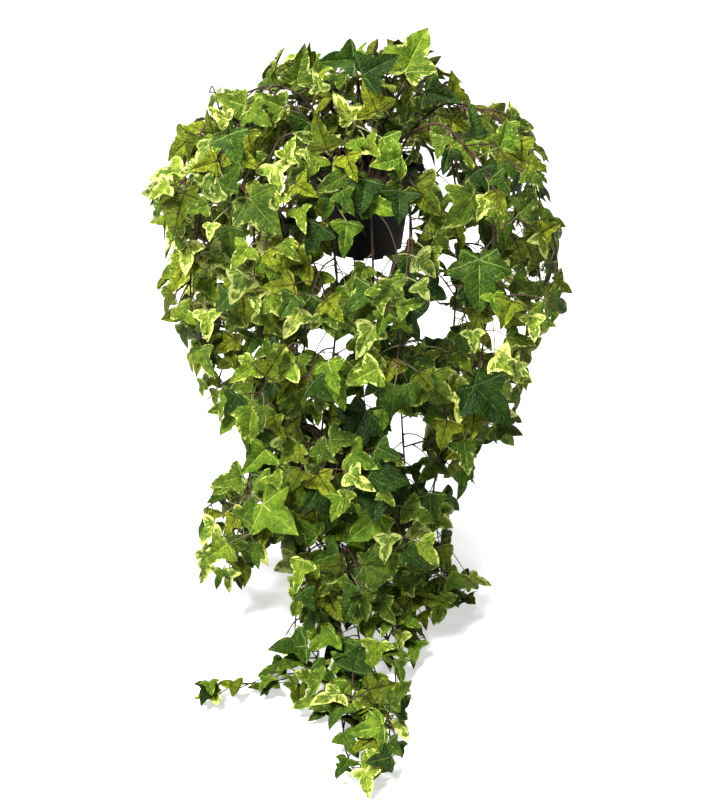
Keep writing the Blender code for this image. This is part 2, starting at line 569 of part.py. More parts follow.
class Ivy:
    """All stems, side shoots and leaves, placed one after the other, each clear of the rest."""

    def __init__(self):
        self.draw = random.Random(SEED)
        self.roots = root_places()
        self.shoots = {}
        self.solids = []
        self.leaves = []
        for name, (twigs, route) in VINES.items():
            self.shoots[name] = [(self.main_line(name, route), STEM_RADIUS)]
            self.keep(name, "stem", tube(*self.tube_of(name, 0, CLEAR), 5))
        for row in LARGE_LEAVES:
            self.add_large_leaf(*row)
        for name, (twigs, route) in VINES.items():
            for i in range(twigs):
                self.add_twig(name, (i + 1.0) / (twigs + 0.6))
        self.add_leaves(LEAF_PITCH, 0.5)

    def main_line(self, name, route):
        """The smooth line of a stem, from the bottom of its hole in the soil."""
        x, y = self.roots[name]
        foot = Vector((x, y, SOIL_TOP - ROOT_DEPTH))
        start = [Vector((x, y, SOIL_TOP + SOIL_DOME + 0.003)), Vector((1.12 * x, 1.12 * y, 0.016))]
        return [foot] + smooth_line(start + [Vector(point) for point in route], STEM_STEP)

    def tube_of(self, name, index, grow=0.0):
        """Centres and radii of a stem or side shoot, which thins towards its end."""
        line, radius = self.shoots[name][index]
        radii = [radius * (1.0 - STEM_TAPER * i / len(line)) + grow for i in range(len(line))]
        if index > 0:
            radii[0] = TWIG_FOOT * radius
        return line, radii

    def keep(self, vine, kind, shape):
        """Remember a solid that what comes later stays clear of."""
        points, faces = shape
        low = Vector([min(p[k] for p in points) for k in range(3)])
        high = Vector([max(p[k] for p in points) for k in range(3)])
        tree = BVHTree.FromPolygons([tuple(p) for p in points], faces)
        self.solids.append((vine, kind, low, high, tree))

    def is_clear(self, shape, allow):
        """True where a shape touches no kept solid, apart from the (vine, kind) allowed."""
        points, faces = shape
        low = [min(p[k] for p in points) for k in range(3)]
        high = [max(p[k] for p in points) for k in range(3)]
        tree = None
        for vine, kind, bottom, top, other in self.solids:
            if (vine, kind) == allow:
                continue
            if any(low[k] > top[k] or high[k] < bottom[k] for k in range(3)):
                continue
            if tree is None:
                tree = BVHTree.FromPolygons([tuple(p) for p in points], faces)
            if tree.overlap(other):
                return False
        return True

    def add_twig(self, name, share):
        """Grow one side shoot from a stem, at a share of its length."""
        line = self.shoots[name][0][0]
        start = line[min(3 + int(share * (len(line) - 4)), len(line) - 2)]
        ahead = (line[-1] - start).normalized()
        for attempt in range(TWIG_TRIES):
            outward = Vector((start.x, start.y + 0.02, 0.0)).normalized()
            turn = Vector((self.draw.uniform(-1, 1), self.draw.uniform(-1, 1),
                           self.draw.uniform(-0.5, 0.6)))
            way = (outward * 0.5 + turn + ahead * 0.3).normalized()
            reach = self.draw.uniform(*TWIG_REACH) * (1.0 - 0.03 * attempt)
            bend = start + way * (0.55 * reach) + Vector((0.0, 0.0, 0.006))
            end = start + way * reach + Vector((0.0, 0.0, -0.25 * reach))
            twig = smooth_line([start, bend, end], TWIG_STEP)
            if not all(place_is_free(point) for point in twig[1:]):
                continue
            shape = tube(twig, [TWIG_RADIUS + 2.0 * CLEAR] * len(twig), 4)
            if self.is_clear(shape, (name, "stem")):
                self.shoots[name].append((twig, TWIG_RADIUS))
                self.keep(name, "stem", tube(twig, [TWIG_RADIUS + CLEAR] * len(twig), 4))
                return

    def try_leaf(self, leaf):
        """Keep the leaf if its blade and stalk are clear of all else."""
        along = (leaf.base - leaf.root).normalized()
        if along.dot(leaf.tip) < 0.30:
            return False
        points, faces, base = leaf.blade(CLEAR)
        if not all(place_is_free(point) for point in points):
            return False
        foot = leaf.root + along * 0.004
        if not place_is_free(leaf.base.lerp(foot, 0.5), False):
            return False
        stalk = tube([foot, leaf.base - along * 0.001], [0.0008 + CLEAR] * 2, 3)
        if not self.is_clear(stalk, (leaf.vine, "stem")) or not self.is_clear((points, faces), None):
            return False
        self.keep(leaf.vine, "leaf", leaf.blade()[:2])
        self.keep(leaf.vine, "leaf", stalk)
        self.leaves.append(leaf)
        return True

    def add_large_leaf(self, name, across, up, length, turn):
        """Place a leaf by where it shows in the front view, a little in front of its stem."""
        spots = [point for line, radius in self.shoots[name] for point in line[3:]]
        want = Vector((across * 0.001, up * 0.001))
        angle = math.radians(turn)
        for attempt in range(LARGE_TRIES):
            near = sorted(spots, key=lambda spot: (Vector(front_place(spot)) - want).length)
            root = near[self.draw.randrange(min(5, len(near)))]
            depth = root.y - self.draw.uniform(0.008, 0.030 + 0.0012 * attempt)
            shift = 0.00045 * attempt
            jog = Vector((self.draw.uniform(-1, 1), self.draw.uniform(-1, 1))) * shift
            middle = behind_front(want.x + jog.x, want.y + jog.y, depth)
            to_viewer = (VIEWPOINT - middle).normalized()
            flat_up = (Vector((0.0, 0.0, 1.0)) - to_viewer * to_viewer.z).normalized()
            flat_right = flat_up.cross(to_viewer)
            swing = angle + self.draw.uniform(-0.015, 0.015) * attempt
            tip = flat_right * math.sin(swing) + flat_up * math.cos(swing)
            tip = (tip - to_viewer * self.draw.uniform(-0.15, 0.25)).normalized()
            face = (to_viewer + flat_right * self.draw.uniform(-0.35, 0.35)
                    + flat_up * self.draw.uniform(-0.2, 0.4))
            if middle.z < FLOOR + FLOOR_ZONE:
                face += Vector((0.0, 0.0, 1.1))
                tip.z = max(tip.z, -0.15)
                tip = (tip - face * (tip.dot(face) / face.length_squared)).normalized()
            size = 0.001 * length * (1.0 - 0.006 * attempt)
            leaf = Leaf(name, root, middle - tip * (MIDDLE * size), tip, face.normalized(), size, self.draw)
            if self.try_leaf(leaf):
                return

    def add_leaves(self, pitch, offset):
        """Place leaves along every stem and side shoot, each where it fills most."""
        for name, shoots in self.shoots.items():
            for index, (line, radius) in enumerate(shoots):
                step = pitch if index == 0 else 0.7 * pitch
                spots = walk(line, WALK)
                start = 8 if index == 0 else 2
                every = max(1, round(step / WALK))
                first = start + int(offset * every)
                for k in range(first, len(spots) - 1, every):
                    young = 0.72 if len(spots) - k < 5 else 1.0
                    self.add_leaf(name, spots[k], spots[k + 1] - spots[k - 1], young)
                self.add_leaf(name, spots[-2], spots[-1] - spots[-3], 0.8)

    def add_leaf(self, name, root, along, young):
        """Draw some leaves for one spot and keep the first that fits, the freest ones first."""
        if not place_is_free(root, False):
            return
        along = along.normalized()
        tries = [self.draw_leaf(name, root, along, young) for attempt in range(TRIES)]
        tries.sort(key=self.crowding)
        for leaf in tries:
            if self.try_leaf(leaf):
                return

    def crowding(self, leaf):
        """How close the nearest leaf lies, nearest last; depth counts for half."""
        nearest = 0.05
        for other in self.leaves:
            gap = other.middle - leaf.middle
            nearest = min(nearest, math.sqrt(gap.x ** 2 + gap.z ** 2 + 0.3 * gap.y ** 2))
        return -nearest

    def draw_leaf(self, name, root, along, young):
        """One random leaf for a spot: it reaches out, faces out and up, and its tip hangs."""
        draw = self.draw
        spin = Vector((draw.uniform(-1, 1), draw.uniform(-1, 1), draw.uniform(-1, 1)))
        sideways = (spin - along * spin.dot(along)).normalized()
        outward = Vector((root.x, root.y + 0.02, 0.0)).normalized()
        stalk = (sideways + outward * 0.45 + along * 0.35).normalized()
        length = LEAF_LENGTH * young * draw.uniform(*LEAF_SPREAD)
        base = root + stalk * (draw.uniform(*STALK_REACH) + STALK_SHARE * length)
        front = FRONT_LEAN if root.y < FRONT_HALF else BACK_LEAN
        jitter = Vector((draw.uniform(-1, 1), draw.uniform(-1, 1), draw.uniform(-1, 1))) * JITTER
        face = (outward * OUT_SHARE + front + SKY_LEAN + jitter).normalized()
        hang = HANG if root.z < CROWN_HEIGHT else RISE
        if root.z < FLOOR + NEAR_FLOOR:
            base.z = max(base.z, root.z + 2.0 * WALK)
            face = (FLOOR_LEAN + jitter * 0.8).normalized()
            hang = FLOOR_RUN
        sway = Vector((draw.uniform(-0.6, 0.6), draw.uniform(-0.4, 0.4), draw.uniform(-0.3, 0.3)))
        tip = stalk + hang + sway
        tip = (tip - face * tip.dot(face)).normalized()
        return Leaf(name, root, base, tip, face, length, draw)


def build_vine(ivy, name, colour):
    """One leafy stem as one body: stem, side shoots, stalks and blades."""
    centres, radii = ivy.tube_of(name, 0)
    points, faces = tube(centres, radii, STEM_SIDES)
    vine = add_object("vine_" + name, points, faces, finish_of("leaf_" + name, colour, 0.5))
    others = []
    for index in range(1, len(ivy.shoots[name])):
        centres, radii = ivy.tube_of(name, index)
        others.append(add_object("twig", *tube(centres, radii, STEM_SIDES)))
    for leaf in ivy.leaves:
        if leaf.vine == name:
            others.append(add_object("leaf", *leaf.solid()))
    join(vine, others, solver="MANIFOLD")
    return vine


def build_all():
    """The pot, its soil and every leafy stem."""
    clear_scene()
    ivy = Ivy()
    build_pot()
    build_soil(list(ivy.roots.values()))
    for i, name in enumerate(VINES):
        build_vine(ivy, name, LEAF_COLOURS[i % len(LEAF_COLOURS)])


build_all()
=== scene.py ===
import json
import math
import random

import bpy
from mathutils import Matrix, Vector
from mathutils.bvhtree import BVHTree

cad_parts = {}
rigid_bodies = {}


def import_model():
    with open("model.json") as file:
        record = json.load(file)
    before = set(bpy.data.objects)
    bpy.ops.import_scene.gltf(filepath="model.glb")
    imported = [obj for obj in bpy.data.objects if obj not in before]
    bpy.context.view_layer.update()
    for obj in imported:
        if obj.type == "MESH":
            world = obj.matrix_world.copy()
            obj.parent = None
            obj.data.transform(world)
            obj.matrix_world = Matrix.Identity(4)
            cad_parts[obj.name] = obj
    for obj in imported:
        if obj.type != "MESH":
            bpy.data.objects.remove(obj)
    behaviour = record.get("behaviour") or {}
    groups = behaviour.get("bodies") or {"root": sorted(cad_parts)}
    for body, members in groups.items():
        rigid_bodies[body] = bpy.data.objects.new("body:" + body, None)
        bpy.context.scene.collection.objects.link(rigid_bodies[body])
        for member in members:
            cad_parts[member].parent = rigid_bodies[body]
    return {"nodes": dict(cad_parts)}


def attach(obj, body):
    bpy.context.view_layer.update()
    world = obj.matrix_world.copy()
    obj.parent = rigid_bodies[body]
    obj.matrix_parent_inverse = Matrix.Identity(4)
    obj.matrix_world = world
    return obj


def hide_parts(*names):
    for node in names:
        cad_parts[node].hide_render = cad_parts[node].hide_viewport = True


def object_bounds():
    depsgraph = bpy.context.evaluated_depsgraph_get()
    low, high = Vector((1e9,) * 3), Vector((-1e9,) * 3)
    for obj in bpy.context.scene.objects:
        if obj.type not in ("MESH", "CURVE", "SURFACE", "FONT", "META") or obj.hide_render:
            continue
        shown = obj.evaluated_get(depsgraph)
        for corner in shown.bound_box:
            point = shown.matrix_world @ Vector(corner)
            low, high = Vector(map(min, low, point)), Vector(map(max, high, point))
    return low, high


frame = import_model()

CAD_BOX = [[value for value in corner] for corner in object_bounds()]


# The pot
# A thin black injection-moulded nursery pot: turned wall, rolled lip, toothed foot ring with
# drain holes behind it, and two lugs on the rim that a hanger clips into.
LIP_RADIUS = 0.0600
LIP_HEIGHT = 0.0090
RIM_WALL_RADIUS = 0.0540
BASE_RADIUS = 0.0425
POT_HEIGHT = 0.0950
WALL = 0.0016
POT_SIDES = 120
FOOT_HEIGHT = 0.0034
FOOT_RING = 1.4 * WALL
FOOT_TEETH = 12
TOOTH_GAP = (0.009, 0.0095, 2.0 * FOOT_HEIGHT - 0.0008)
TOOTH_TURN = 0.25
MIDDLE_HOLE = 0.004
DRAIN_HOLES = 4
DRAIN_RADIUS = 0.004
DRAIN_RING = 0.024
DRAIN_TURN = 0.4
LUG_WIDTH, LUG_REACH, LUG_HEIGHT = 0.012, 0.0050, 0.0040
LUG_DROP = 0.0006
LUG_HOLE = 0.0022
CUT_SPARE = 0.002
LONG_CUT = 0.02


def add_piece(name, points, faces, materials=()):
    """A mesh object from points and faces."""
    mesh = bpy.data.meshes.new(name)
    mesh.from_pydata([tuple(point) for point in points], [], faces)
    mesh.update()
    piece = bpy.data.objects.new(name, mesh)
    bpy.context.scene.collection.objects.link(piece)
    for material in materials:
        mesh.materials.append(material)
    return piece


def smooth(piece, sharp_from):
    """Shade a piece smooth, apart from edges that turn by more than some degrees."""
    piece.data.shade_smooth()
    piece.data.set_sharp_from_angle(angle=math.radians(sharp_from))


def turned(profile, sides):
    """Points and faces of a closed ring of profile points (radius, height) turned round Z."""
    points = []
    for step in range(sides):
        angle = 2.0 * math.pi * step / sides
        for radius, height in profile:
            points.append((radius * math.cos(angle), radius * math.sin(angle), height))
    count = len(profile)
    faces = []
    for step in range(sides):
        ring, after = step * count, ((step + 1) % sides) * count
        for i in range(count):
            j = (i + 1) % count
            faces.append((ring + i, after + i, after + j, ring + j))
    return points, faces


def add_box(centre, size, turn):
    """A box with its middle at centre, then turned round the Z axis."""
    points = []
    for x in (-0.5, 0.5):
        for y in (-0.5, 0.5):
            for z in (-0.5, 0.5):
                px, py = centre[0] + x * size[0], centre[1] + y * size[1]
                points.append((px * math.cos(turn) - py * math.sin(turn),
                               px * math.sin(turn) + py * math.cos(turn),
                               centre[2] + z * size[2]))
    faces = [(0, 1, 3, 2), (4, 6, 7, 5), (0, 4, 5, 1), (2, 3, 7, 6), (0, 2, 6, 4), (1, 5, 7, 3)]
    return add_piece("box", points, faces)


def tube(centres, radii, sides):
    """Points and faces of a closed tube round a line of centres, with flat ends."""
    points = []
    side = None
    for i, centre in enumerate(centres):
        ahead = centres[min(i + 1, len(centres) - 1)]
        behind = centres[max(i - 1, 0)]
        along = (ahead - behind).normalized()
        if side is None:
            side = along.orthogonal()
        side = (side - along * side.dot(along)).normalized()
        up = along.cross(side)
        for step in range(sides):
            angle = 2.0 * math.pi * step / sides
            points.append(centre + (side * math.cos(angle) + up * math.sin(angle)) * radii[i])
    faces = [tuple(reversed(range(sides)))]
    for i in range(len(centres) - 1):
        for step in range(sides):
            a, b = i * sides + step, i * sides + (step + 1) % sides
            faces.append((a, b, b + sides, a + sides))
    last = (len(centres) - 1) * sides
    faces.append(tuple(range(last, last + sides)))
    return points, faces


def join(target, others, operation="UNION"):
    """Join or cut the target with some pieces in one Boolean, and remove them."""
    group = bpy.data.collections.new("joined")
    bpy.context.scene.collection.children.link(group)
    for other in others:
        bpy.context.scene.collection.objects.unlink(other)
        group.objects.link(other)
    boolean = target.modifiers.new("join", "BOOLEAN")
    boolean.operation = operation
    boolean.operand_type = "COLLECTION"
    boolean.collection = group
    boolean.solver = "EXACT"
    graph = bpy.context.evaluated_depsgraph_get()
    whole = bpy.data.meshes.new_from_object(target.evaluated_get(graph))
    target.modifiers.clear()
    target.data = whole
    for other in list(group.objects):
        bpy.data.objects.remove(other, do_unlink=True)
    bpy.data.collections.remove(group)


def feed(tree, socket, value):
    """Link or set one input socket of a node."""
    if isinstance(value, bpy.types.NodeSocket):
        tree.links.new(value, socket)
    else:
        socket.default_value = value


def place(tree, kind, sockets=None, **settings):
    """One node in a tree, with its settings, and a value or a link for each of its sockets."""
    node = tree.nodes.new(kind)
    for name, value in settings.items():
        setattr(node, name, value)
    for name, value in (sockets or {}).items():
        feed(tree, node.inputs[name], value)
    return node


def noise(tree, spot, scale, detail=2.0, distortion=0.0):
    """The value of a noise texture."""
    return place(tree, "ShaderNodeTexNoise",
                 {"Vector": spot, "Scale": scale, "Detail": detail,
                  "Distortion": distortion}).outputs["Fac"]


def blend(tree, share, first, second):
    """The result of a colour mix: first where share is 0, second where it is 1."""
    node = place(tree, "ShaderNodeMix", data_type="RGBA")
    for index, value in ((0, share), (6, first), (7, second)):
        feed(tree, node.inputs[index], value)
    return node.outputs[2]


def ramp(tree, value, start, end, low=0.0, high=1.0):
    """A value taken smoothly from low to high between start and end."""
    node = place(tree, "ShaderNodeMapRange",
                 {"Value": value, "From Min": start, "From Max": end,
                  "To Min": low, "To Max": high}, interpolation_type="SMOOTHSTEP")
    return node.outputs["Result"]


def relief(tree, shader, height, strength, depth):
    """Press a height pattern into a finish, to a depth in metres."""
    bump = place(tree, "ShaderNodeBump",
                 {"Height": height, "Strength": strength, "Distance": depth})
    tree.links.new(bump.outputs["Normal"], shader.inputs["Normal"])


def new_finish(name, colour, roughness, specular):
    """A new material: its node tree and its Principled shader."""
    material = bpy.data.materials.new(name)
    material.use_nodes = True
    shader = material.node_tree.nodes["Principled BSDF"]
    shader.inputs["Base Color"].default_value = colour
    shader.inputs["Roughness"].default_value = roughness
    shader.inputs["Specular IOR Level"].default_value = specular
    return material, material.node_tree, shader


# Black plastic with a fine moulded grain, and a thin film of dust in clouds
CLEAN_BLACK = (0.004, 0.0045, 0.0055, 1.0)
DUSTY_BLACK = (0.011, 0.012, 0.014, 1.0)
black_plastic, tree, shader = new_finish("black_plastic", CLEAN_BLACK, 0.42, 0.07)
spot = place(tree, "ShaderNodeTexCoord").outputs["Object"]
cloud = noise(tree, spot, 42.0, 5.0)
grain = noise(tree, spot, 2600.0)
tree.links.new(blend(tree, ramp(tree, cloud, 0.45, 0.75), CLEAN_BLACK, DUSTY_BLACK),
               shader.inputs["Base Color"])
tree.links.new(ramp(tree, cloud, 0.3, 0.7, 0.34, 0.52), shader.inputs["Roughness"])
relief(tree, shader, grain, 0.25, 0.0002)

# The wall's section: up the inside from the middle of the base, over the lip, down the outside
slope = (RIM_WALL_RADIUS - BASE_RADIUS) / (POT_HEIGHT - LIP_HEIGHT)
foot_top = FOOT_HEIGHT - POT_HEIGHT
inner_floor = foot_top + WALL
profile = (
    (MIDDLE_HOLE, foot_top), (MIDDLE_HOLE, inner_floor),
    (BASE_RADIUS - WALL + slope * FOOT_HEIGHT, inner_floor),
    (RIM_WALL_RADIUS - WALL, -LIP_HEIGHT),
    (LIP_RADIUS - 2.2 * WALL, -0.002), (LIP_RADIUS - 1.9 * WALL, -0.0006),
    (LIP_RADIUS - 1.5 * WALL, 0.0), (LIP_RADIUS - 0.0007, 0.0),
    (LIP_RADIUS - 0.0002, -0.0003), (LIP_RADIUS, -0.0010),
    (LIP_RADIUS - 0.0005, -LIP_HEIGHT + 0.0004), (LIP_RADIUS - 0.0010, -LIP_HEIGHT),
    (RIM_WALL_RADIUS + 0.0003, -LIP_HEIGHT - 0.0002),
    (RIM_WALL_RADIUS - 0.0001, -LIP_HEIGHT - 0.0010),
    (BASE_RADIUS + slope * FOOT_HEIGHT, foot_top), (BASE_RADIUS + 0.0001, -POT_HEIGHT + 0.0004),
    (BASE_RADIUS - 0.0003, -POT_HEIGHT),
    (BASE_RADIUS - FOOT_RING, -POT_HEIGHT), (BASE_RADIUS - FOOT_RING, foot_top),
)
pot = add_piece("nursery_pot", *turned(profile, POT_SIDES), [black_plastic])
cutters = []
for tooth in range(FOOT_TEETH):
    angle = 2.0 * math.pi * (tooth + TOOTH_TURN) / FOOT_TEETH
    cutters.append(add_box((BASE_RADIUS - 0.5 * WALL, 0.0, -POT_HEIGHT), TOOTH_GAP, angle))
for hole in range(DRAIN_HOLES):
    angle = 2.0 * math.pi * hole / DRAIN_HOLES + DRAIN_TURN
    at = Vector((DRAIN_RING * math.cos(angle), DRAIN_RING * math.sin(angle), 0.0))
    low = Vector((0.0, 0.0, foot_top - CUT_SPARE))
    high = Vector((0.0, 0.0, inner_floor + CUT_SPARE))
    cutters.append(add_piece("drain", *tube([at + low, at + high], [DRAIN_RADIUS] * 2, 32)))
join(pot, cutters, "DIFFERENCE")
lugs = []
for turn in (0.0, math.pi):
    lug = add_box((LIP_RADIUS + 0.4 * LUG_REACH, 0.0, -0.5 * LUG_HEIGHT - LUG_DROP),
                  (1.6 * LUG_REACH, LUG_WIDTH, LUG_HEIGHT), turn)
    at = Vector((math.cos(turn) * (LIP_RADIUS + 0.45 * LUG_REACH), 0.0, 0.0))
    depth = Vector((0.0, 0.0, LONG_CUT))
    hole = add_piece("hook_hole", *tube([at - depth, at + depth], [0.5 * LUG_HOLE] * 2, 24))
    join(lug, [hole], "DIFFERENCE")
    lugs.append(lug)
join(pot, lugs)
smooth(pot, 32.0)
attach(pot, "root")
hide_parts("pot")


# The soil
# Dark peat that fills the pot to just under its lip and holds the stems. The fill keeps its
# solid, and loose crumbs of peat and bark lie on it.
SOIL_TOP = -0.0130
SOIL_DOME = 0.0050
SOIL_RADIUS = 0.048
CRUMBS = 420
CRUMB_RING = 0.046
CRUMB_SIZE = (0.0009, 0.0024)
CRUMB_CORNERS = 5
DARK_PEAT = (0.012, 0.007, 0.004, 1.0)
PALE_PEAT = (0.070, 0.042, 0.024, 1.0)


def calculate(tree, operation, *values):
    """The result of a Math node."""
    node = place(tree, "ShaderNodeMath", operation=operation)
    for socket, value in zip(node.inputs, values):
        feed(tree, socket, value)
    return node.outputs[0]


peat, tree, shader = new_finish("peat", DARK_PEAT, 0.95, 0.2)
spot = place(tree, "ShaderNodeTexCoord").outputs["Object"]
clods = place(tree, "ShaderNodeTexVoronoi", {"Vector": spot, "Scale": 420.0})
fibres = noise(tree, spot, 900.0, 6.0)
tree.links.new(blend(tree, ramp(tree, fibres, 0.35, 0.7), DARK_PEAT, PALE_PEAT),
               shader.inputs["Base Color"])
relief(tree, shader, calculate(tree, "SUBTRACT", fibres, clods.outputs["Distance"]), 0.8, 0.0015)
frame["nodes"]["soil"].material_slots[0].material = peat

# Each crumb is a small flat lump: a low and a high point, and corners round its middle
draw = random.Random(5)
points, faces = [], []
for crumb in range(CRUMBS):
    angle = draw.uniform(0.0, 2.0 * math.pi)
    radius = CRUMB_RING * math.sqrt(draw.random())
    height = SOIL_TOP + SOIL_DOME * (1.0 - (radius / SOIL_RADIUS) ** 2)
    size = draw.uniform(*CRUMB_SIZE)
    middle = Vector((radius * math.cos(angle), radius * math.sin(angle), height + 0.25 * size))
    start = len(points)
    turn = draw.uniform(0.0, math.pi)
    peak = Vector((0.0, 0.0, size * 0.7))
    points += [middle + peak, middle - peak]
    for corner in range(CRUMB_CORNERS):
        bearing = turn + 2.0 * math.pi * corner / CRUMB_CORNERS
        reach = size * draw.uniform(0.7, 1.3)
        points.append(middle + Vector((reach * math.cos(bearing), reach * math.sin(bearing),
                                       size * draw.uniform(-0.3, 0.3))))
    for corner in range(CRUMB_CORNERS):
        a, b = start + 2 + corner, start + 2 + (corner + 1) % CRUMB_CORNERS
        faces += [(start, a, b), (start + 1, b, a)]
crumbs = add_piece("peat_crumbs", points, faces, [peat])
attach(crumbs, "root")


# The leafy stems
# Twenty-two wiry ivy runners in a brown bark with redder patches. They stand in
# the soil, and most hang over the pot's rim. They thicken at each joint that bears a leaf.

# Their growth repeats the CAD part's from the same seed: first the routes, the large leaves and
# the side shoots, then the small leaves and shoots that fill the plant
SEED, MIX_SEED = 41, 12
FLOOR = -0.525
ROOT_DEPTH = 0.0220
ROOT_RINGS = (0.034, 0.022)
CROWN_RING = 0.009
OUT_OF_SOIL, FIRST_LEAN, FIRST_HEIGHT = 0.003, 1.12, 0.016
STEM_RADIUS = 0.0019
STEM_TAPER = 0.30
STEM_STEP = 0.034
CLEAR = 0.0004
OUT_FROM = 0.02

# Side shoots: how they reach out, bend and droop
TWIG_RADIUS = 0.0015
TWIG_STEP = 0.032
TWIG_REACH = (0.045, 0.085)
TWIG_SHRINK = 0.03
TWIG_OUT, TWIG_AHEAD = 0.5, 0.3
TWIG_BEND, TWIG_ARCH, TWIG_DROOP = 0.55, 0.006, 0.25
TWIG_TRIES = 14
FIRST_JOINT = 3

# Leaves: their size, their spacing, their stalks, and where the small ones may go
BLADE = 0.0008
SMALL_SHEET = -0.0002
SWELL, SWELL_MIDDLE = 2.5, 0.3
STALK_WIDTH = 0.0016
STALK_START, STALK_GAP = 0.004, 0.001
STALK_BEND = 0.30
STALK_REACH = (0.010, 0.026)
STALK_SHARE = 0.15
STALK_OUT, STALK_AHEAD = 0.45, 0.35
LEAF_LENGTH = 0.043
LEAF_SPREAD = (0.82, 1.22)
LEAF_PITCH = 0.112
SHOOT_PITCH = 0.7
YOUNG_SPOTS, YOUNG_SIZE, END_SIZE = 5, 0.72, 0.8
WALK = 0.004
FIRST_SPOTS = (8, 2)
NEAR_FLOOR = 0.045
FLOOR_ZONE = 0.05
MIDDLE = 0.42
TRIES = 9
CROWD_REACH, CROWD_DEPTH = 0.05, 0.3
SURFACE_SPARE, POT_SPARE, BOX_SPARE = 0.0015, 0.004, 0.0015

# Passes of small leaves: spacing, first place, length, and the fewest new cells that each covers
SMALL_PASSES = ((0.090, 0.30, 0.034, 0), (0.056, 0.15, 0.034, 4), (0.050, 0.60, 0.032, 3))
CELL = 0.005
BLADE_SPOTS = ((0.0, 0.15), (0.0, 0.45), (0.0, 0.75), (0.0, 0.97), (0.2, 0.12), (-0.2, 0.12),
               (0.42, 0.12), (-0.42, 0.12), (0.12, 0.5), (-0.12, 0.5))

# Ranges of a blade's fold along its midrib, of its curl and of its width
FOLD = (-0.05, 0.34)
CURL = (-0.05, 0.30)
WIDTH = (0.88, 1.14)

# Half outlines of a blade, base to tip, for a length of 1: across, along
FIVE_LOBES = ((0.34, -0.18), (0.38, 0.02), (0.62, 0.22), (0.28, 0.42))
THREE_LOBES = ((0.52, 0.08), (0.21, 0.37))
FIVE_FROM = 0.0450

# Colourings: D dark, M plain with a thin pale edge, O olive, C cream-edged, B bright. Then how
# often small leaves take each: out at the sides, low in the middle, and elsewhere
KINDS = "DMOCB"
SIDE_MIX = (0.05, 0.36, 0.22, 0.27, 0.10)
LOW_MIX = (0.20, 0.36, 0.18, 0.08, 0.18)
OTHER_MIX = (0.16, 0.40, 0.18, 0.12, 0.14)

# The photo's camera, in a picture of 727 x 800 pixels. The front view is the plane through the
# pot's axis as this camera sees it, with places on it given across and up.
PHOTO_WIDTH, PHOTO_HEIGHT = 727, 800
LENS, SENSOR = 81.0, 36.0
FOCAL = LENS / SENSOR * PHOTO_HEIGHT
TILT_DOWN = 28.9
TILT = math.radians(TILT_DOWN)
VIEWPOINT = Vector((0.0, -1.843, 0.725))
MILLIMETRE = 0.001

# Outline of the whole plant in the front view, in millimetres
OUTLINE = (
    (70, 160), (85, 120), (110, 90), (120, 65), (150, 80), (185, 50), (205, 0), (200, -35),
    (230, -75), (225, -115), (250, -150), (230, -195), (200, -215), (200, -270), (185, -290),
    (195, -355), (140, -355), (135, -410), (110, -410), (120, -460), (110, -505), (170, -555),
    (145, -585), (85, -595), (110, -640), (70, -660), (60, -735), (65, -790), (45, -885),
    (35, -930), (-45, -930), (-60, -805), (-35, -755), (-80, -775), (-135, -755), (-225, -755),
    (-220, -700), (-130, -690), (-130, -645), (-90, -615), (-95, -560), (-100, -505), (-120, -575),
    (-220, -560), (-195, -435), (-185, -400), (-150, -380), (-165, -355), (-185, -325),
    (-210, -240), (-200, -215), (-240, -185), (-240, -150), (-215, -100), (-245, -70), (-245, -10),
    (-215, -5), (-215, 45), (-170, 60), (-175, 95), (-110, 90), (-100, 125), (-55, 145),
    (-35, 110), (-15, 145), (40, 145),
)

# Places where one sees through the plant from the front: across, up and radius in
# millimetres. The small leaves keep out of the second list too.
SEE_THROUGH = (
    (48, -348, 17), (80, -188, 18), (-28, -124, 11), (144, -220, 9), (94, -116, 10), (124, -90, 7),
    (22, -120, 8), (-90, 84, 7), (-56, -208, 7), (54, -68, 7), (92, -4, 7), (72, 6, 7),
    (-128, -104, 7), (-134, -68, 7), (-32, -280, 6), (-44, -152, 7), (-80, -528, 6),
    (-22, -98, 14), (6, -100, 14), (34, -88, 14), (30, -62, 10),
)
SMALL_GAPS = (
    (84, -150, 12), (148, -194, 9), (-111, -510, 13), (-182, -444, 10), (58, -333, 15), (87, 0, 9),
    (92, -29, 9), (119, -91, 11), (174, -67, 8), (-30, -271, 13), (13, -295, 10), (-48, -220, 11),
)

# How a leaf leans: out from the pot, and to the front on the front half of the plant. Its
# tip hangs, but rises on the crown and lies flat on the floor, and sways a little.
OUT_SHARE = 0.65
FRONT_LEAN = Vector((0.0, -0.75, 0.30))
BACK_LEAN = Vector((0.0, 0.0, 0.30))
SKY_LEAN = Vector((0.0, 0.0, 0.25))
FLOOR_LEAN = Vector((0.0, -0.35, 1.0))
HANG = Vector((0.0, 0.0, -0.55))
RISE = Vector((0.0, 0.0, 0.25))
FLOOR_RUN = Vector((0.0, -0.2, 0.0))
CROWN_HEIGHT = 0.06
FRONT_HALF = 0.05
JITTER, FLOOR_JITTER = 0.55, 0.8
SWAY = (0.6, 0.4, 0.3)

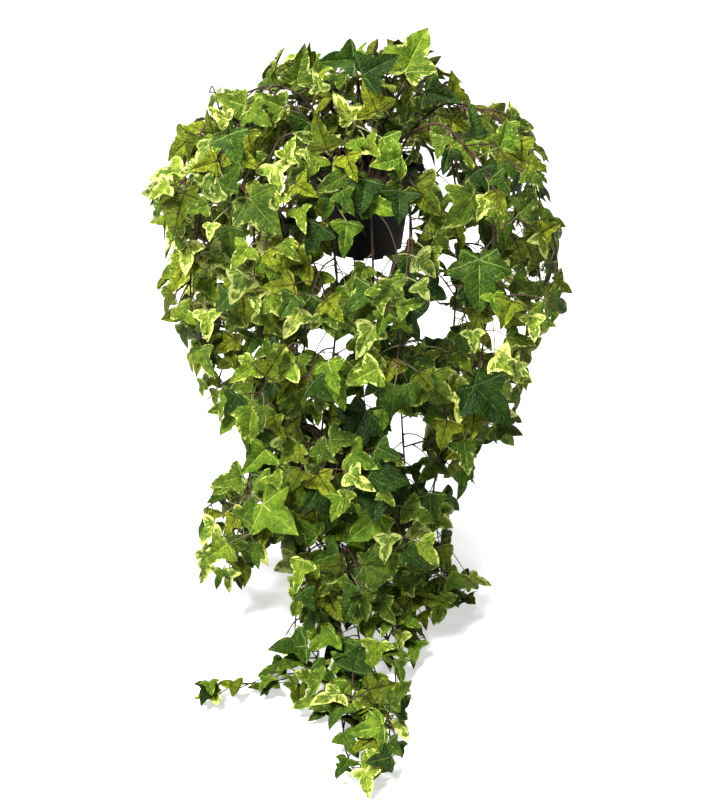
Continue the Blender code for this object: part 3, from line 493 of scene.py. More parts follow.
# Each leafy stem: its route from above the soil to its end, and how many side shoots it has.
# They are listed round the pot, counter-clockwise from the right.
VINES = {
    "right_high": (3, (
        (0.080, 0.005, 0.066), (0.130, 0.010, 0.058), (0.172, 0.008, 0.020),
        (0.194, 0.000, -0.040), (0.215, -0.010, -0.100), (0.212, -0.020, -0.170))),
    "right_long": (5, (
        (0.072, 0.034, 0.058), (0.094, 0.042, 0.010), (0.106, 0.036, -0.070),
        (0.106, 0.016, -0.150), (0.100, -0.010, -0.240), (0.090, -0.035, -0.330),
        (0.080, -0.060, -0.410), (0.090, -0.085, -0.470), (0.118, -0.100, -0.505))),
    "right_back": (4, (
        (0.066, 0.064, 0.068), (0.110, 0.096, 0.034), (0.138, 0.116, -0.030),
        (0.150, 0.125, -0.100), (0.140, 0.118, -0.180), (0.130, 0.110, -0.235))),
    "back_right": (4, (
        (0.036, 0.080, 0.078), (0.056, 0.128, 0.034), (0.062, 0.140, -0.050),
        (0.055, 0.132, -0.130), (0.062, 0.120, -0.220), (0.068, 0.105, -0.290))),
    "mid_right": (4, (
        (0.020, 0.070, 0.040), (0.030, 0.088, -0.020), (0.036, 0.078, -0.110),
        (0.040, 0.045, -0.210), (0.044, 0.005, -0.300), (0.050, -0.040, -0.385),
        (0.056, -0.085, -0.455), (0.060, -0.125, -0.508), (0.072, -0.165, -0.517))),
    "back": (3, (
        (-0.008, 0.074, 0.082), (-0.012, 0.124, 0.045), (-0.014, 0.142, -0.040),
        (-0.010, 0.136, -0.125), (-0.012, 0.122, -0.210))),
    "back_left": (4, (
        (-0.036, 0.064, 0.084), (-0.066, 0.112, 0.042), (-0.078, 0.128, -0.040),
        (-0.074, 0.122, -0.125), (-0.080, 0.108, -0.215), (-0.090, 0.095, -0.290))),
    "left_back": (4, (
        (-0.060, 0.054, 0.088), (-0.110, 0.084, 0.060), (-0.140, 0.100, -0.010),
        (-0.150, 0.104, -0.090), (-0.148, 0.098, -0.165), (-0.150, 0.088, -0.230))),
    "left_back_long": (4, (
        (-0.070, 0.040, 0.066), (-0.114, 0.056, 0.020), (-0.138, 0.058, -0.060),
        (-0.144, 0.052, -0.150), (-0.155, 0.042, -0.230), (-0.172, 0.034, -0.285))),
    "left_high": (4, (
        (-0.075, 0.022, 0.078), (-0.128, 0.028, 0.072), (-0.168, 0.024, 0.042),
        (-0.196, 0.012, -0.002), (-0.216, 0.002, -0.045), (-0.222, -0.004, -0.090))),
    "left_front": (4, (
        (-0.080, 0.010, 0.068), (-0.132, -0.010, 0.048), (-0.166, -0.030, 0.000),
        (-0.180, -0.045, -0.060), (-0.190, -0.055, -0.120), (-0.188, -0.060, -0.180))),
    "left_floor": (5, (
        (-0.064, -0.012, 0.026), (-0.080, -0.016, -0.030), (-0.084, -0.018, -0.110),
        (-0.076, -0.024, -0.190), (-0.078, -0.038, -0.270), (-0.086, -0.052, -0.350),
        (-0.086, -0.066, -0.430), (-0.078, -0.090, -0.500), (-0.062, -0.135, -0.518),
        (-0.052, -0.190, -0.520), (-0.078, -0.228, -0.520), (-0.120, -0.244, -0.517),
        (-0.168, -0.252, -0.512))),
    "left_long": (6, (
        (-0.074, -0.030, 0.052), (-0.110, -0.058, 0.002), (-0.118, -0.074, -0.080),
        (-0.112, -0.084, -0.160), (-0.116, -0.090, -0.235), (-0.126, -0.094, -0.310),
        (-0.138, -0.098, -0.385), (-0.156, -0.102, -0.450))),
    "front_mid_left": (4, (
        (-0.046, -0.054, 0.022), (-0.060, -0.074, -0.032), (-0.062, -0.084, -0.110),
        (-0.066, -0.092, -0.190), (-0.076, -0.098, -0.265), (-0.074, -0.108, -0.335),
        (-0.064, -0.118, -0.400), (-0.056, -0.132, -0.465))),
    "front_left": (6, (
        (-0.030, -0.062, 0.024), (-0.034, -0.082, -0.030), (-0.028, -0.092, -0.110),
        (-0.034, -0.104, -0.190), (-0.046, -0.114, -0.270), (-0.038, -0.124, -0.360),
        (-0.020, -0.136, -0.445), (-0.006, -0.164, -0.508), (-0.002, -0.215, -0.519),
        (-0.014, -0.275, -0.520), (-0.022, -0.330, -0.520), (-0.012, -0.385, -0.518))),
    "front": (6, (
        (0.006, -0.064, 0.016), (0.009, -0.080, -0.040), (0.010, -0.088, -0.120),
        (0.004, -0.098, -0.190), (-0.008, -0.110, -0.270), (0.004, -0.124, -0.350),
        (0.016, -0.140, -0.435), (0.026, -0.166, -0.506), (0.036, -0.220, -0.519),
        (0.030, -0.280, -0.520), (0.020, -0.335, -0.519), (0.026, -0.372, -0.512))),
    "front_right": (2, (
        (0.038, -0.060, 0.026), (0.050, -0.084, -0.030), (0.050, -0.096, -0.100),
        (0.042, -0.100, -0.170), (0.036, -0.104, -0.235))),
    "right_front": (4, (
        (0.076, -0.036, 0.062), (0.118, -0.062, 0.026), (0.138, -0.078, -0.040),
        (0.136, -0.088, -0.110), (0.130, -0.092, -0.180), (0.134, -0.094, -0.240),
        (0.128, -0.094, -0.295))),
    "crown_right": (2, ((0.024, 0.004, 0.050), (0.044, 0.008, 0.088))),
    "crown_mid": (2, ((-0.002, 0.014, 0.060), (-0.006, 0.016, 0.092))),
    "crown_left": (2, ((-0.032, 0.012, 0.058), (-0.058, 0.016, 0.092))),
    "crown_front": (2, ((-0.004, -0.026, 0.036), (-0.006, -0.046, 0.062))),
}
CROWN = ("crown_right", "crown_mid", "crown_left", "crown_front")

# Smaller leaves in front, read off the photo: colouring, middle and length in its pixels,
# and where the tip points, in degrees clockwise from up
SEEN_LEAVES = (
    ("M", 303, 106, 46, 262), ("C", 326, 85, 26, 15), ("D", 348, 66, 38, 250),
    ("B", 362, 88, 40, 200), ("C", 402, 80, 24, 160), ("D", 436, 98, 44, 85),
    ("D", 418, 110, 34, 200), ("O", 456, 92, 32, 10), ("C", 345, 122, 22, 200),
    ("C", 300, 160, 28, 200), ("C", 318, 162, 24, 150), ("C", 290, 150, 24, 20),
    ("C", 325, 135, 26, 60), ("C", 308, 138, 30, 300), ("B", 355, 148, 26, 170),
    ("O", 395, 165, 26, 150), ("O", 420, 135, 24, 140), ("M", 440, 145, 24, 200),
    ("D", 342, 176, 36, 185), ("B", 331, 203, 26, 205), ("M", 300, 198, 24, 180),
    ("C", 275, 205, 26, 200), ("D", 262, 218, 28, 250), ("D", 285, 222, 26, 90),
    ("C", 215, 118, 28, 290), ("M", 232, 100, 24, 60), ("C", 240, 118, 26, 100),
    ("O", 205, 128, 26, 340), ("O", 190, 146, 26, 215), ("C", 225, 150, 30, 185),
    ("O", 242, 158, 34, 120), ("O", 205, 165, 26, 255), ("C", 202, 188, 28, 20),
    ("C", 219, 190, 22, 345), ("B", 233, 178, 26, 30), ("M", 178, 185, 26, 335),
    ("C", 160, 190, 24, 250), ("C", 158, 212, 20, 215), ("M", 173, 212, 26, 100),
    ("C", 182, 228, 24, 190), ("C", 212, 230, 20, 190), ("M", 215, 255, 22, 150),
    ("C", 187, 255, 30, 190), ("C", 222, 262, 26, 120), ("C", 253, 262, 26, 10),
    ("C", 190, 290, 28, 200), ("B", 210, 290, 22, 160), ("C", 205, 325, 28, 180),
    ("B", 220, 340, 26, 130), ("C", 260, 300, 24, 180), ("B", 250, 345, 26, 200),
    ("C", 232, 350, 28, 160), ("M", 215, 365, 26, 200), ("C", 245, 370, 24, 210),
    ("O", 264, 385, 36, 170), ("O", 274, 360, 36, 40), ("B", 292, 372, 24, 150),
    ("M", 303, 427, 30, 100), ("D", 262, 440, 40, 190), ("B", 255, 452, 30, 200),
    ("M", 320, 415, 24, 180), ("B", 356, 373, 30, 120), ("M", 375, 300, 30, 160),
    ("M", 390, 290, 30, 150), ("M", 411, 305, 26, 80), ("M", 363, 312, 24, 220),
    ("B", 381, 322, 22, 200), ("M", 405, 340, 34, 200), ("M", 360, 278, 28, 200),
    ("M", 460, 360, 26, 150), ("C", 480, 350, 24, 120), ("B", 468, 377, 28, 200),
    ("C", 505, 108, 22, 20), ("D", 476, 122, 38, 20), ("C", 495, 150, 20, 170),
    ("O", 515, 115, 20, 30), ("C", 485, 210, 26, 200), ("M", 498, 217, 22, 150),
    ("D", 506, 190, 26, 120), ("M", 530, 205, 32, 145), ("O", 550, 228, 22, 60),
    ("B", 505, 226, 30, 170), ("O", 520, 250, 22, 150), ("O", 490, 250, 26, 110),
    ("M", 535, 262, 24, 180), ("C", 515, 280, 28, 190), ("C", 540, 290, 24, 170),
    ("C", 558, 292, 20, 200), ("O", 570, 281, 22, 140), ("O", 505, 312, 30, 200),
    ("C", 522, 302, 28, 170), ("C", 530, 345, 28, 60), ("C", 515, 362, 26, 200),
    ("B", 262, 458, 34, 200), ("O", 290, 457, 26, 20), ("M", 316, 470, 34, 70),
    ("O", 326, 487, 28, 150), ("M", 272, 480, 24, 270), ("B", 240, 516, 24, 40),
    ("O", 264, 530, 30, 190), ("M", 286, 525, 30, 90), ("D", 300, 540, 24, 190),
    ("B", 352, 536, 36, 110), ("M", 380, 536, 36, 100), ("D", 372, 495, 46, 175),
    ("D", 358, 470, 40, 10), ("M", 345, 520, 26, 300), ("M", 390, 470, 24, 20),
    ("O", 400, 505, 34, 200), ("O", 422, 505, 24, 200), ("D", 416, 474, 22, 150),
    ("M", 440, 520, 30, 100), ("C", 455, 534, 26, 120), ("D", 400, 532, 28, 150),
    ("C", 386, 547, 28, 190), ("C", 430, 560, 28, 190), ("O", 456, 560, 26, 180),
    ("D", 416, 560, 26, 120), ("O", 426, 600, 28, 100), ("O", 332, 606, 34, 150),
    ("B", 300, 625, 30, 300), ("C", 380, 612, 30, 200), ("C", 360, 622, 24, 160),
    ("C", 400, 640, 24, 190), ("C", 352, 655, 26, 200), ("C", 368, 652, 22, 120),
    ("B", 336, 662, 24, 200), ("B", 320, 640, 30, 250), ("M", 410, 580, 24, 60),
)

# Large leaves: the stem that bears each, its middle in the front view in millimetres,
# its length in millimetres and where its tip points, in degrees clockwise from up
LARGE_LEAVES = (
    ("crown_right", 54, 128, 56, 25), ("crown_mid", 4, 120, 54, 70), ("crown_mid", 2, 96, 50, 45),
    ("crown_left", -70, 116, 46, 20), ("crown_left", -48, 80, 32, 0),
    ("left_high", -140, 78, 42, 280), ("left_high", -102, 70, 40, 290),
    ("left_high", -108, 48, 44, 200), ("left_high", -76, 38, 48, 205),
    ("crown_front", 24, 44, 46, 170), ("crown_front", 28, 16, 40, 150),
    ("left_high", -196, 24, 40, 230), ("left_high", -220, -24, 36, 275),
    ("left_front", -148, -52, 46, 200), ("left_front", -208, -128, 44, 215),
    ("left_front", -204, -186, 42, 268), ("left_long", -136, -168, 50, 180),
    ("left_floor", -84, -192, 56, 180), ("front_mid_left", -66, -120, 56, 165),
    ("front_left", -28, -176, 56, 195), ("front", 4, -214, 46, 200),
    ("left_back_long", -172, -276, 58, 315), ("left_long", -134, -320, 50, 190),
    ("front_mid_left", -86, -272, 44, 170), ("front_left", -52, -272, 44, 150),
    ("front_left", -16, -74, 48, 172), ("front", 2, -36, 40, 190),
    ("front_right", 40, -28, 42, 150), ("front_right", 70, -40, 46, 140),
    ("right_long", 84, -88, 46, 190), ("front_right", 50, -130, 42, 190),
    ("right_front", 116, 18, 44, 190), ("right_front", 132, -32, 56, 100),
    ("right_high", 176, 12, 50, 160), ("right_front", 128, -138, 62, 180),
    ("right_front", 122, -192, 44, 190), ("front_right", 40, -272, 64, 200),
    ("right_long", 94, -250, 52, 150), ("right_front", 150, -300, 66, 140),
    ("right_long", 108, -306, 42, 180), ("right_front", 168, -246, 42, 120),
    ("right_long", 92, -368, 42, 200), ("right_front", 122, -368, 40, 170),
    ("front", -6, -336, 62, 200), ("left_floor", -88, -424, 54, 170),
    ("left_long", -162, -402, 40, 262), ("left_long", -172, -496, 38, 262),
    ("left_long", -148, -532, 36, 180), ("left_long", -190, -530, 30, 200),
    ("front_left", -40, -444, 54, 200), ("front", 2, -548, 50, 190),
    ("mid_right", 48, -576, 60, 160), ("right_long", 92, -452, 50, 170),
    ("right_long", 82, -516, 42, 180), ("right_long", 144, -548, 28, 100),
    ("right_long", 118, -568, 28, 130), ("mid_right", 84, -634, 40, 95),
    ("left_floor", -92, -650, 46, 255), ("left_floor", -42, -638, 48, 200),
    ("mid_right", 48, -688, 42, 110), ("left_floor", -200, -726, 30, 262),
    ("left_floor", -174, -714, 28, 300), ("left_floor", -138, -712, 30, 300),
    ("left_floor", -104, -740, 40, 200), ("front_left", -18, -796, 46, 190),
    ("front", 28, -788, 42, 115), ("front_left", -8, -865, 42, 200),
    ("front_left", -24, -720, 42, 185), ("front", 12, -654, 48, 195),
)

# The colouring of each large leaf, in the same order
LARGE_KINDS = "MDBMCMMODMBOCOOOODBBBDMOOBDOOBDMDODODDDMCOMDMMBOCDDBDMCCBDODCOOBBBCBM"
LARGE_TRIES = 40
FLOOR_FACE, FLOOR_TIP = Vector((0.0, 0.0, 1.1)), -0.15

# How the leaves of both lists may vary from what was read. They lie in front of their stem by
# "depth". Each further try goes "deeper" and "aside", swings the tip and shrinks the leaf. The
# tip leans from the viewer by "lean", and the face turns "sideways" and "upwards".
LARGE_RULE = {"depth": (0.008, 0.030), "deeper": 0.0012, "aside": 0.00045, "swing": 0.015,
              "shrink": 0.006, "lean": (-0.15, 0.25), "sideways": (-0.35, 0.35),
              "upwards": (-0.2, 0.4)}
SEEN_RULE = {"depth": (0.006, 0.030), "deeper": 0.0007, "aside": 0.00018, "swing": 0.007,
             "shrink": 0.0024, "lean": (-0.35, 0.45), "sideways": (-0.6, 0.6),
             "upwards": (-0.3, 0.7)}
SEEN_TRIES = 100
SEEN_STEP = 0.008
SEEN_NEAR = (0.006, 0.045)
SEEN_DEPTH = 0.16
SEEN_OUT = 2.5
SEEN_SIZE = (0.95, 1.15)
SEEN_FOLD = (0.0, 0.55)
SEEN_CURL = (-0.1, 0.45)


def root_places():
    """Where each stem stands in the soil, in the order of the stems."""
    places = {}
    around = [name for name in VINES if name not in CROWN]
    for i, name in enumerate(around):
        angle = 2.0 * math.pi * i / len(around)
        radius = ROOT_RINGS[i % 2]
        places[name] = (radius * math.cos(angle), radius * math.sin(angle))
    for i, name in enumerate(CROWN):
        angle = 2.0 * math.pi * i / len(CROWN)
        places[name] = (CROWN_RING * math.cos(angle), CROWN_RING * math.sin(angle))
    return places


def smooth_line(points, step):
    """Points a given step apart on a smooth curve through the given ones."""
    fine = []
    for i in range(len(points) - 1):
        p0, p1 = points[max(i - 1, 0)], points[i]
        p2, p3 = points[i + 1], points[min(i + 2, len(points) - 1)]
        for k in range(12):
            t = k / 12.0
            fine.append(0.5 * (2.0 * p1 + (p2 - p0) * t
                               + (2.0 * p0 - 5.0 * p1 + 4.0 * p2 - p3) * t * t
                               + (3.0 * p1 - p0 - 3.0 * p2 + p3) * t * t * t))
    fine.append(points[-1].copy())
    length = sum((b - a).length for a, b in zip(fine, fine[1:]))
    count = max(2, round(length / step))
    line = [fine[0]]
    walked, target = 0.0, length / count
    for a, b in zip(fine, fine[1:]):
        piece = (b - a).length
        while walked + piece >= target and len(line) < count:
            line.append(a.lerp(b, (target - walked) / piece))
            target += length / count
        walked += piece
    line.append(fine[-1])
    return line


def walk(line, step):
    """Points a given step apart along the straight pieces of a line."""
    spots = []
    left = 0.0
    for a, b in zip(line, line[1:]):
        piece = (b - a).length
        while left < piece:
            spots.append(a.lerp(b, left / piece))
            left += step
        left -= piece
    return spots


def front_place(point):
    """Where a point shows on the front view's plane, as (across, up)."""
    share = -VIEWPOINT.y / (point.y - VIEWPOINT.y)
    return point.x * share, VIEWPOINT.z + (point.z - VIEWPOINT.z) * share


def behind_front(across, up, depth):
    """The point at a given depth that shows at (across, up) in the front view."""
    share = (depth - VIEWPOINT.y) / -VIEWPOINT.y
    return Vector((across * share, depth, VIEWPOINT.z + (up - VIEWPOINT.z) * share))


def photo_place(column, row):
    """A place in the photo, as (across, up) in the front view, and a pixel's size there."""
    right = (column - 0.5 * PHOTO_WIDTH) / FOCAL
    high = (0.5 * PHOTO_HEIGHT - row) / FOCAL
    share = -VIEWPOINT.y / (math.cos(TILT) + high * math.sin(TILT))
    up = VIEWPOINT.z + (high * math.cos(TILT) - math.sin(TILT)) * share
    return Vector((right * share, up)), share / FOCAL


def outward_from(point):
    """The level way out from the plant's middle, which lies in front of the pot's."""
    return Vector((point.x, point.y + OUT_FROM, 0.0)).normalized()


def inside_outline(across, up):
    """True where a place in the front view lies inside the plant's outline."""
    inside = False
    x, z = across * 1000.0, up * 1000.0
    for (x1, z1), (x2, z2) in zip(OUTLINE, OUTLINE[1:] + OUTLINE[:1]):
        if (z1 > z) != (z2 > z) and x < x1 + (z - z1) / (z2 - z1) * (x2 - x1):
            inside = not inside
    return inside


def in_gap(across, up, gaps):
    """True where a place in the front view lies in one of the round gaps."""
    return any(math.hypot(across * 1000.0 - x, up * 1000.0 - z) < radius for x, z, radius in gaps)


def place_is_free(point, see_through=True):
    """True where a point is above the surface, outside the pot and inside the plant's look."""
    if point.z < FLOOR + SURFACE_SPARE:
        return False
    beside_pot = -POT_HEIGHT - 0.002 < point.z < 0.003
    if math.hypot(point.x, point.y) < LIP_RADIUS + POT_SPARE and beside_pot:
        return False
    across, up = front_place(point)
    if not inside_outline(across, up):
        return False
    return not (see_through and in_gap(across, up, SEE_THROUGH))


def small_place_is_free(point):
    """True where a small leaf may be: inside the CAD part's box and out of the small gaps."""
    if in_gap(*front_place(point), SMALL_GAPS):
        return False
    return all(CAD_BOX[0][k] + BOX_SPARE < point[k] < CAD_BOX[1][k] - BOX_SPARE
               for k in range(3))


class Leaf:
    """One blade with its stalk: where it grows, how it faces and its outline."""

    def __init__(self, vine, root, base, tip, face, length, draw):
        self.vine, self.root, self.base, self.length = vine, root, base, length
        self.tip = tip
        self.face = (face - tip * face.dot(tip)).normalized()
        self.side = tip.cross(self.face)
        self.five = length >= FIVE_FROM
        self.fold = draw.uniform(*FOLD)
        self.curl = draw.uniform(*CURL)
        self.wide = draw.uniform(*WIDTH)
        self.middle = base + tip * (MIDDLE * length)

    def half(self):
        """Half of the outline, base to tip, without the tip."""
        lobes = FIVE_LOBES if self.five else THREE_LOBES
        return [(0.5 * STALK_WIDTH / self.length, 0.0)] + [(x * self.wide, y) for x, y in lobes]

    def at(self, x, y, lift):
        """A point of the blade, from its place across and along it."""
        height = self.fold * abs(x) - self.curl * y * abs(y)
        return (self.base + self.side * (x * self.length) + self.tip * (y * self.length)
                + self.face * (height * self.length + lift))

    def blade(self, grow=0.0):
        """Points and faces of the blade, thickened and widened by grow."""
        swell = 1.0 + SWELL * grow / self.length
        right = [(x * swell, (y - SWELL_MIDDLE) * swell + SWELL_MIDDLE if y else 0.0)
                 for x, y in self.half()]
        tip = (0.0, (1.0 - SWELL_MIDDLE) * swell + SWELL_MIDDLE)
        ring = right + [tip] + [(-x, y) for x, y in reversed(right)]
        last, middle = len(ring) - 1, len(right)
        lift = 0.5 * BLADE + grow
        under = last + 1
        points = [self.at(x, y, lift) for x, y in ring]
        points += [self.at(0.0, 0.0, -lift)] + [self.at(x, y, -lift) for x, y in ring[1:-1]]
        below = [under] + [under + i for i in range(1, last)] + [under]
        halves = [(0, i, i + 1) for i in range(1, middle)]
        halves += [(last, i, i + 1) for i in range(middle, last - 1)]
        faces = halves + [(0, middle, last)]
        faces += [(below[a], below[c], below[b]) for a, b, c in halves]
        for i in range(last):
            faces.append((i, below[i], below[i + 1], i + 1))
        return points, faces


class Ivy:
    """All stems, side shoots and leaves, placed one after the other, each clear of the rest."""

    def __init__(self):
        self.draw = random.Random(SEED)
        self.roots = root_places()
        self.shoots = {}
        self.solids = []
        self.leaves = []
        for name, (_, route) in VINES.items():
            self.shoots[name] = [self.main_line(name, route)]
            self.keep(name, "stem", tube(*self.tube_of(self.shoots[name][0]), 5))
        self.small = False
        self.growth = LEAF_LENGTH
        self.choice = random.Random(MIX_SEED)
        self.shown = set()
        for row, kind in zip(LARGE_LEAVES, LARGE_KINDS):
            self.add_large_leaf(kind, *row)
        for name, (twigs, _) in VINES.items():
            for i in range(twigs):
                self.add_twig(name, (i + 1.0) / (twigs + 0.6))
        self.add_leaves(LEAF_PITCH, 0.5)
        self.small = True
        for leaf in self.leaves:
            self.shown |= self.cells(leaf)
        for name, (_, route) in VINES.items():
            for i in range(len(route) // 2):
                self.add_twig(name, (i + 0.5) / (len(route) // 2))
        for row in SEEN_LEAVES:
            self.add_seen_leaf(*row)
        for pitch, offset, growth, least in SMALL_PASSES:
            self.growth, self.least = growth, least
            self.add_leaves(pitch, offset)

    def main_line(self, name, route):
        """The smooth line of a stem, from the bottom of its hole in the soil."""
        x, y = self.roots[name]
        foot = Vector((x, y, SOIL_TOP - ROOT_DEPTH))
        start = [Vector((x, y, SOIL_TOP + SOIL_DOME + OUT_OF_SOIL)),
                 Vector((FIRST_LEAN * x, FIRST_LEAN * y, FIRST_HEIGHT))]
        return [foot] + smooth_line(start + [Vector(point) for point in route], STEM_STEP)

    def tube_of(self, line):
        """Centres and radii of a stem with room round it, thinner towards its end."""
        count = len(line)
        return line, [STEM_RADIUS * (1.0 - STEM_TAPER * i / count) + CLEAR for i in range(count)]

    def keep(self, vine, kind, shape):
        """Remember a solid that what comes later stays clear of."""
        points, faces = shape
        low = Vector([min(p[k] for p in points) for k in range(3)])
        high = Vector([max(p[k] for p in points) for k in range(3)])
        tree = BVHTree.FromPolygons([tuple(p) for p in points], faces)
        self.solids.append((vine, kind, low, high, tree))

    def is_clear(self, shape, allow):
        """True where a shape touches no kept solid, apart from the (vine, kind) allowed."""
        points, faces = shape
        low = [min(p[k] for p in points) for k in range(3)]
        high = [max(p[k] for p in points) for k in range(3)]
        tree = None
        for vine, kind, bottom, top, other in self.solids:
            if (vine, kind) == allow:
                continue
            if any(low[k] > top[k] or high[k] < bottom[k] for k in range(3)):
                continue
            if tree is None:
                tree = BVHTree.FromPolygons([tuple(p) for p in points], faces)
            if tree.overlap(other):
                return False
        return True

    def all_free(self, points):
        """True where all points have a free place, and a small one's where small ones may be."""
        if not all(place_is_free(point) for point in points):
            return False
        return not self.small or all(small_place_is_free(point) for point in points)

    def add_twig(self, name, share):
        """Grow one side shoot from a stem, at a share of its length."""
        line = self.shoots[name][0]
        joint = FIRST_JOINT + int(share * (len(line) - FIRST_JOINT - 1))
        start = line[min(joint, len(line) - 2)]
        ahead = (line[-1] - start).normalized()
        for attempt in range(TWIG_TRIES):
            turn = Vector((self.draw.uniform(-1, 1), self.draw.uniform(-1, 1),
                           self.draw.uniform(-0.5, 0.6)))
            way = (outward_from(start) * TWIG_OUT + turn + ahead * TWIG_AHEAD).normalized()
            reach = self.draw.uniform(*TWIG_REACH) * (1.0 - TWIG_SHRINK * attempt)
            bend = start + way * (TWIG_BEND * reach) + Vector((0.0, 0.0, TWIG_ARCH))
            end = start + way * reach + Vector((0.0, 0.0, -TWIG_DROOP * reach))
            twig = smooth_line([start, bend, end], TWIG_STEP)
            if not self.all_free(twig[1:]):
                continue
            shape = tube(twig, [TWIG_RADIUS + 2.0 * CLEAR] * len(twig), 4)
            if self.is_clear(shape, (name, "stem")):
                self.shoots[name].append(twig)
                self.keep(name, "stem", tube(twig, [TWIG_RADIUS + CLEAR] * len(twig), 4))
                return

    def try_leaf(self, leaf, kind=None):
        """Keep the leaf if its blade and stalk are clear of all else."""
        along = (leaf.base - leaf.root).normalized()
        if along.dot(leaf.tip) < STALK_BEND:
            return False
        clear = SMALL_SHEET if self.small else CLEAR
        blade = leaf.blade(clear)
        if not self.all_free(blade[0]):
            return False
        foot = leaf.root + along * STALK_START
        if not place_is_free(leaf.base.lerp(foot, 0.5), False):
            return False
        stalk = tube([foot, leaf.base - along * STALK_GAP], [0.5 * STALK_WIDTH + clear] * 2, 3)
        if not self.is_clear(stalk, (leaf.vine, "stem")) or not self.is_clear(blade, None):
            return False
        self.keep(leaf.vine, "leaf", leaf.blade())
        self.keep(leaf.vine, "leaf", stalk)
        self.leaves.append(leaf)
        self.shown |= self.cells(leaf)
        drawn = self.kind_of(leaf.middle)
        leaf.kind = kind or drawn
        return True

    def kind_of(self, spot):
        """The colouring of a small leaf: creamier out at the sides, darker low in the middle."""
        mix = OTHER_MIX
        if spot.x > 0.165 or (spot.x < -0.15 and spot.z > -0.30):
            mix = SIDE_MIX
        elif abs(spot.x) < 0.07 and spot.z < -0.15:
            mix = LOW_MIX
        return self.choice.choices(KINDS, mix)[0]

    def cells(self, leaf):
        """The cells of the front view that a blade covers."""
        found = set()
        for x, y in BLADE_SPOTS:
            across, up = front_place(leaf.at(x, y, 0.0))
            found.add((round(across / CELL), round(up / CELL)))
        return found

    def aim(self, root, want, angle, attempt, rule, outward=0.0):
        """The middle of a leaf that shows about where wanted, and how its tip and face point."""
        nearest, furthest = rule["depth"]
        depth = root.y - self.draw.uniform(nearest, furthest + rule["deeper"] * attempt)
        shift = rule["aside"] * attempt
        aside = Vector((self.draw.uniform(-1, 1), self.draw.uniform(-1, 1))) * shift
        middle = behind_front(want.x + aside.x, want.y + aside.y, depth)
        to_viewer = (VIEWPOINT - middle).normalized()
        flat_up = (Vector((0.0, 0.0, 1.0)) - to_viewer * to_viewer.z).normalized()
        flat_right = flat_up.cross(to_viewer)
        swing = angle + self.draw.uniform(-rule["swing"], rule["swing"]) * attempt
        tip = flat_right * math.sin(swing) + flat_up * math.cos(swing)
        tip = (tip - to_viewer * self.draw.uniform(*rule["lean"])).normalized()
        face = (to_viewer + flat_right * (outward + self.draw.uniform(*rule["sideways"]))
                + flat_up * self.draw.uniform(*rule["upwards"]))
        return middle, tip, face

    def add_seen_leaf(self, kind, column, row, length, turn):
        """Place a smaller leaf where the photo shows it, on one of the nearest stems."""
        want, pixel = photo_place(column, row)
        near = []
        for name, lines in self.shoots.items():
            for line in lines:
                for point in walk(line, SEEN_STEP)[2:]:
                    gap = (Vector(front_place(point)) - want).length
                    if SEEN_NEAR[0] < gap < SEEN_NEAR[1]:
                        near.append((gap + SEEN_DEPTH * point.y, name, point))
        near.sort(key=lambda entry: entry[0])
        for attempt in range(SEEN_TRIES if near else 0):
            _, name, root = near[self.draw.randrange(min(6 + attempt, len(near)))]
            middle, tip, face = self.aim(root, want, math.radians(turn), attempt, SEEN_RULE,
                                         SEEN_OUT * want.x)
            size = length * pixel * (1.0 - SEEN_RULE["shrink"] * attempt)
            size *= self.draw.uniform(*SEEN_SIZE)
            leaf = Leaf(name, root, middle - tip * (MIDDLE * size), tip, face.normalized(), size,
                        self.draw)
            leaf.fold = self.draw.uniform(*SEEN_FOLD)
            leaf.curl = self.draw.uniform(*SEEN_CURL)
            if self.try_leaf(leaf, kind):
                return

    def add_large_leaf(self, kind, name, across, up, length, turn):
        """Place a leaf by where it shows in the front view, a little in front of its stem."""
        want = Vector((across * MILLIMETRE, up * MILLIMETRE))
        near = sorted(self.shoots[name][0][3:],
                      key=lambda spot: (Vector(front_place(spot)) - want).length)
        for attempt in range(LARGE_TRIES):
            root = near[self.draw.randrange(min(5, len(near)))]
            middle, tip, face = self.aim(root, want, math.radians(turn), attempt, LARGE_RULE)
            if middle.z < FLOOR + FLOOR_ZONE:
                face += FLOOR_FACE
                tip.z = max(tip.z, FLOOR_TIP)
                tip = (tip - face * (tip.dot(face) / face.length_squared)).normalized()
            size = MILLIMETRE * length * (1.0 - LARGE_RULE["shrink"] * attempt)
            leaf = Leaf(name, root, middle - tip * (MIDDLE * size), tip, face.normalized(), size,
                        self.draw)
            if self.try_leaf(leaf, kind):
                return

    def add_leaves(self, pitch, offset):
        """Place leaves along every stem and side shoot, each where it fills most."""
        for name, lines in self.shoots.items():
            for index, line in enumerate(lines):
                step = pitch if index == 0 else SHOOT_PITCH * pitch
                spots = walk(line, WALK)
                every = max(1, round(step / WALK))
                first = FIRST_SPOTS[min(index, 1)] + int(offset * every)
                for k in range(first, len(spots) - 1, every):
                    young = YOUNG_SIZE if len(spots) - k < YOUNG_SPOTS else 1.0
                    self.add_leaf(name, spots[k], spots[k + 1] - spots[k - 1], young)
                self.add_leaf(name, spots[-2], spots[-1] - spots[-3], END_SIZE)

    def add_leaf(self, name, root, along, young):
        """Draw some leaves for one spot and keep the first that fits, the freest ones first."""
        if not place_is_free(root, False):
            return
        along = along.normalized()
        tries = [self.draw_leaf(name, root, along, young) for attempt in range(TRIES)]
        if self.small and self.least > 0:
            tries = [leaf for leaf in tries if self.new_cover(leaf) >= self.least]
            tries.sort(key=self.new_cover, reverse=True)
        else:
            tries.sort(key=self.crowding)
        for leaf in tries:
            if self.try_leaf(leaf):
                return

    def new_cover(self, leaf):
        """How many cells of the front view a blade is the first to cover."""
        return len(self.cells(leaf) - self.shown)

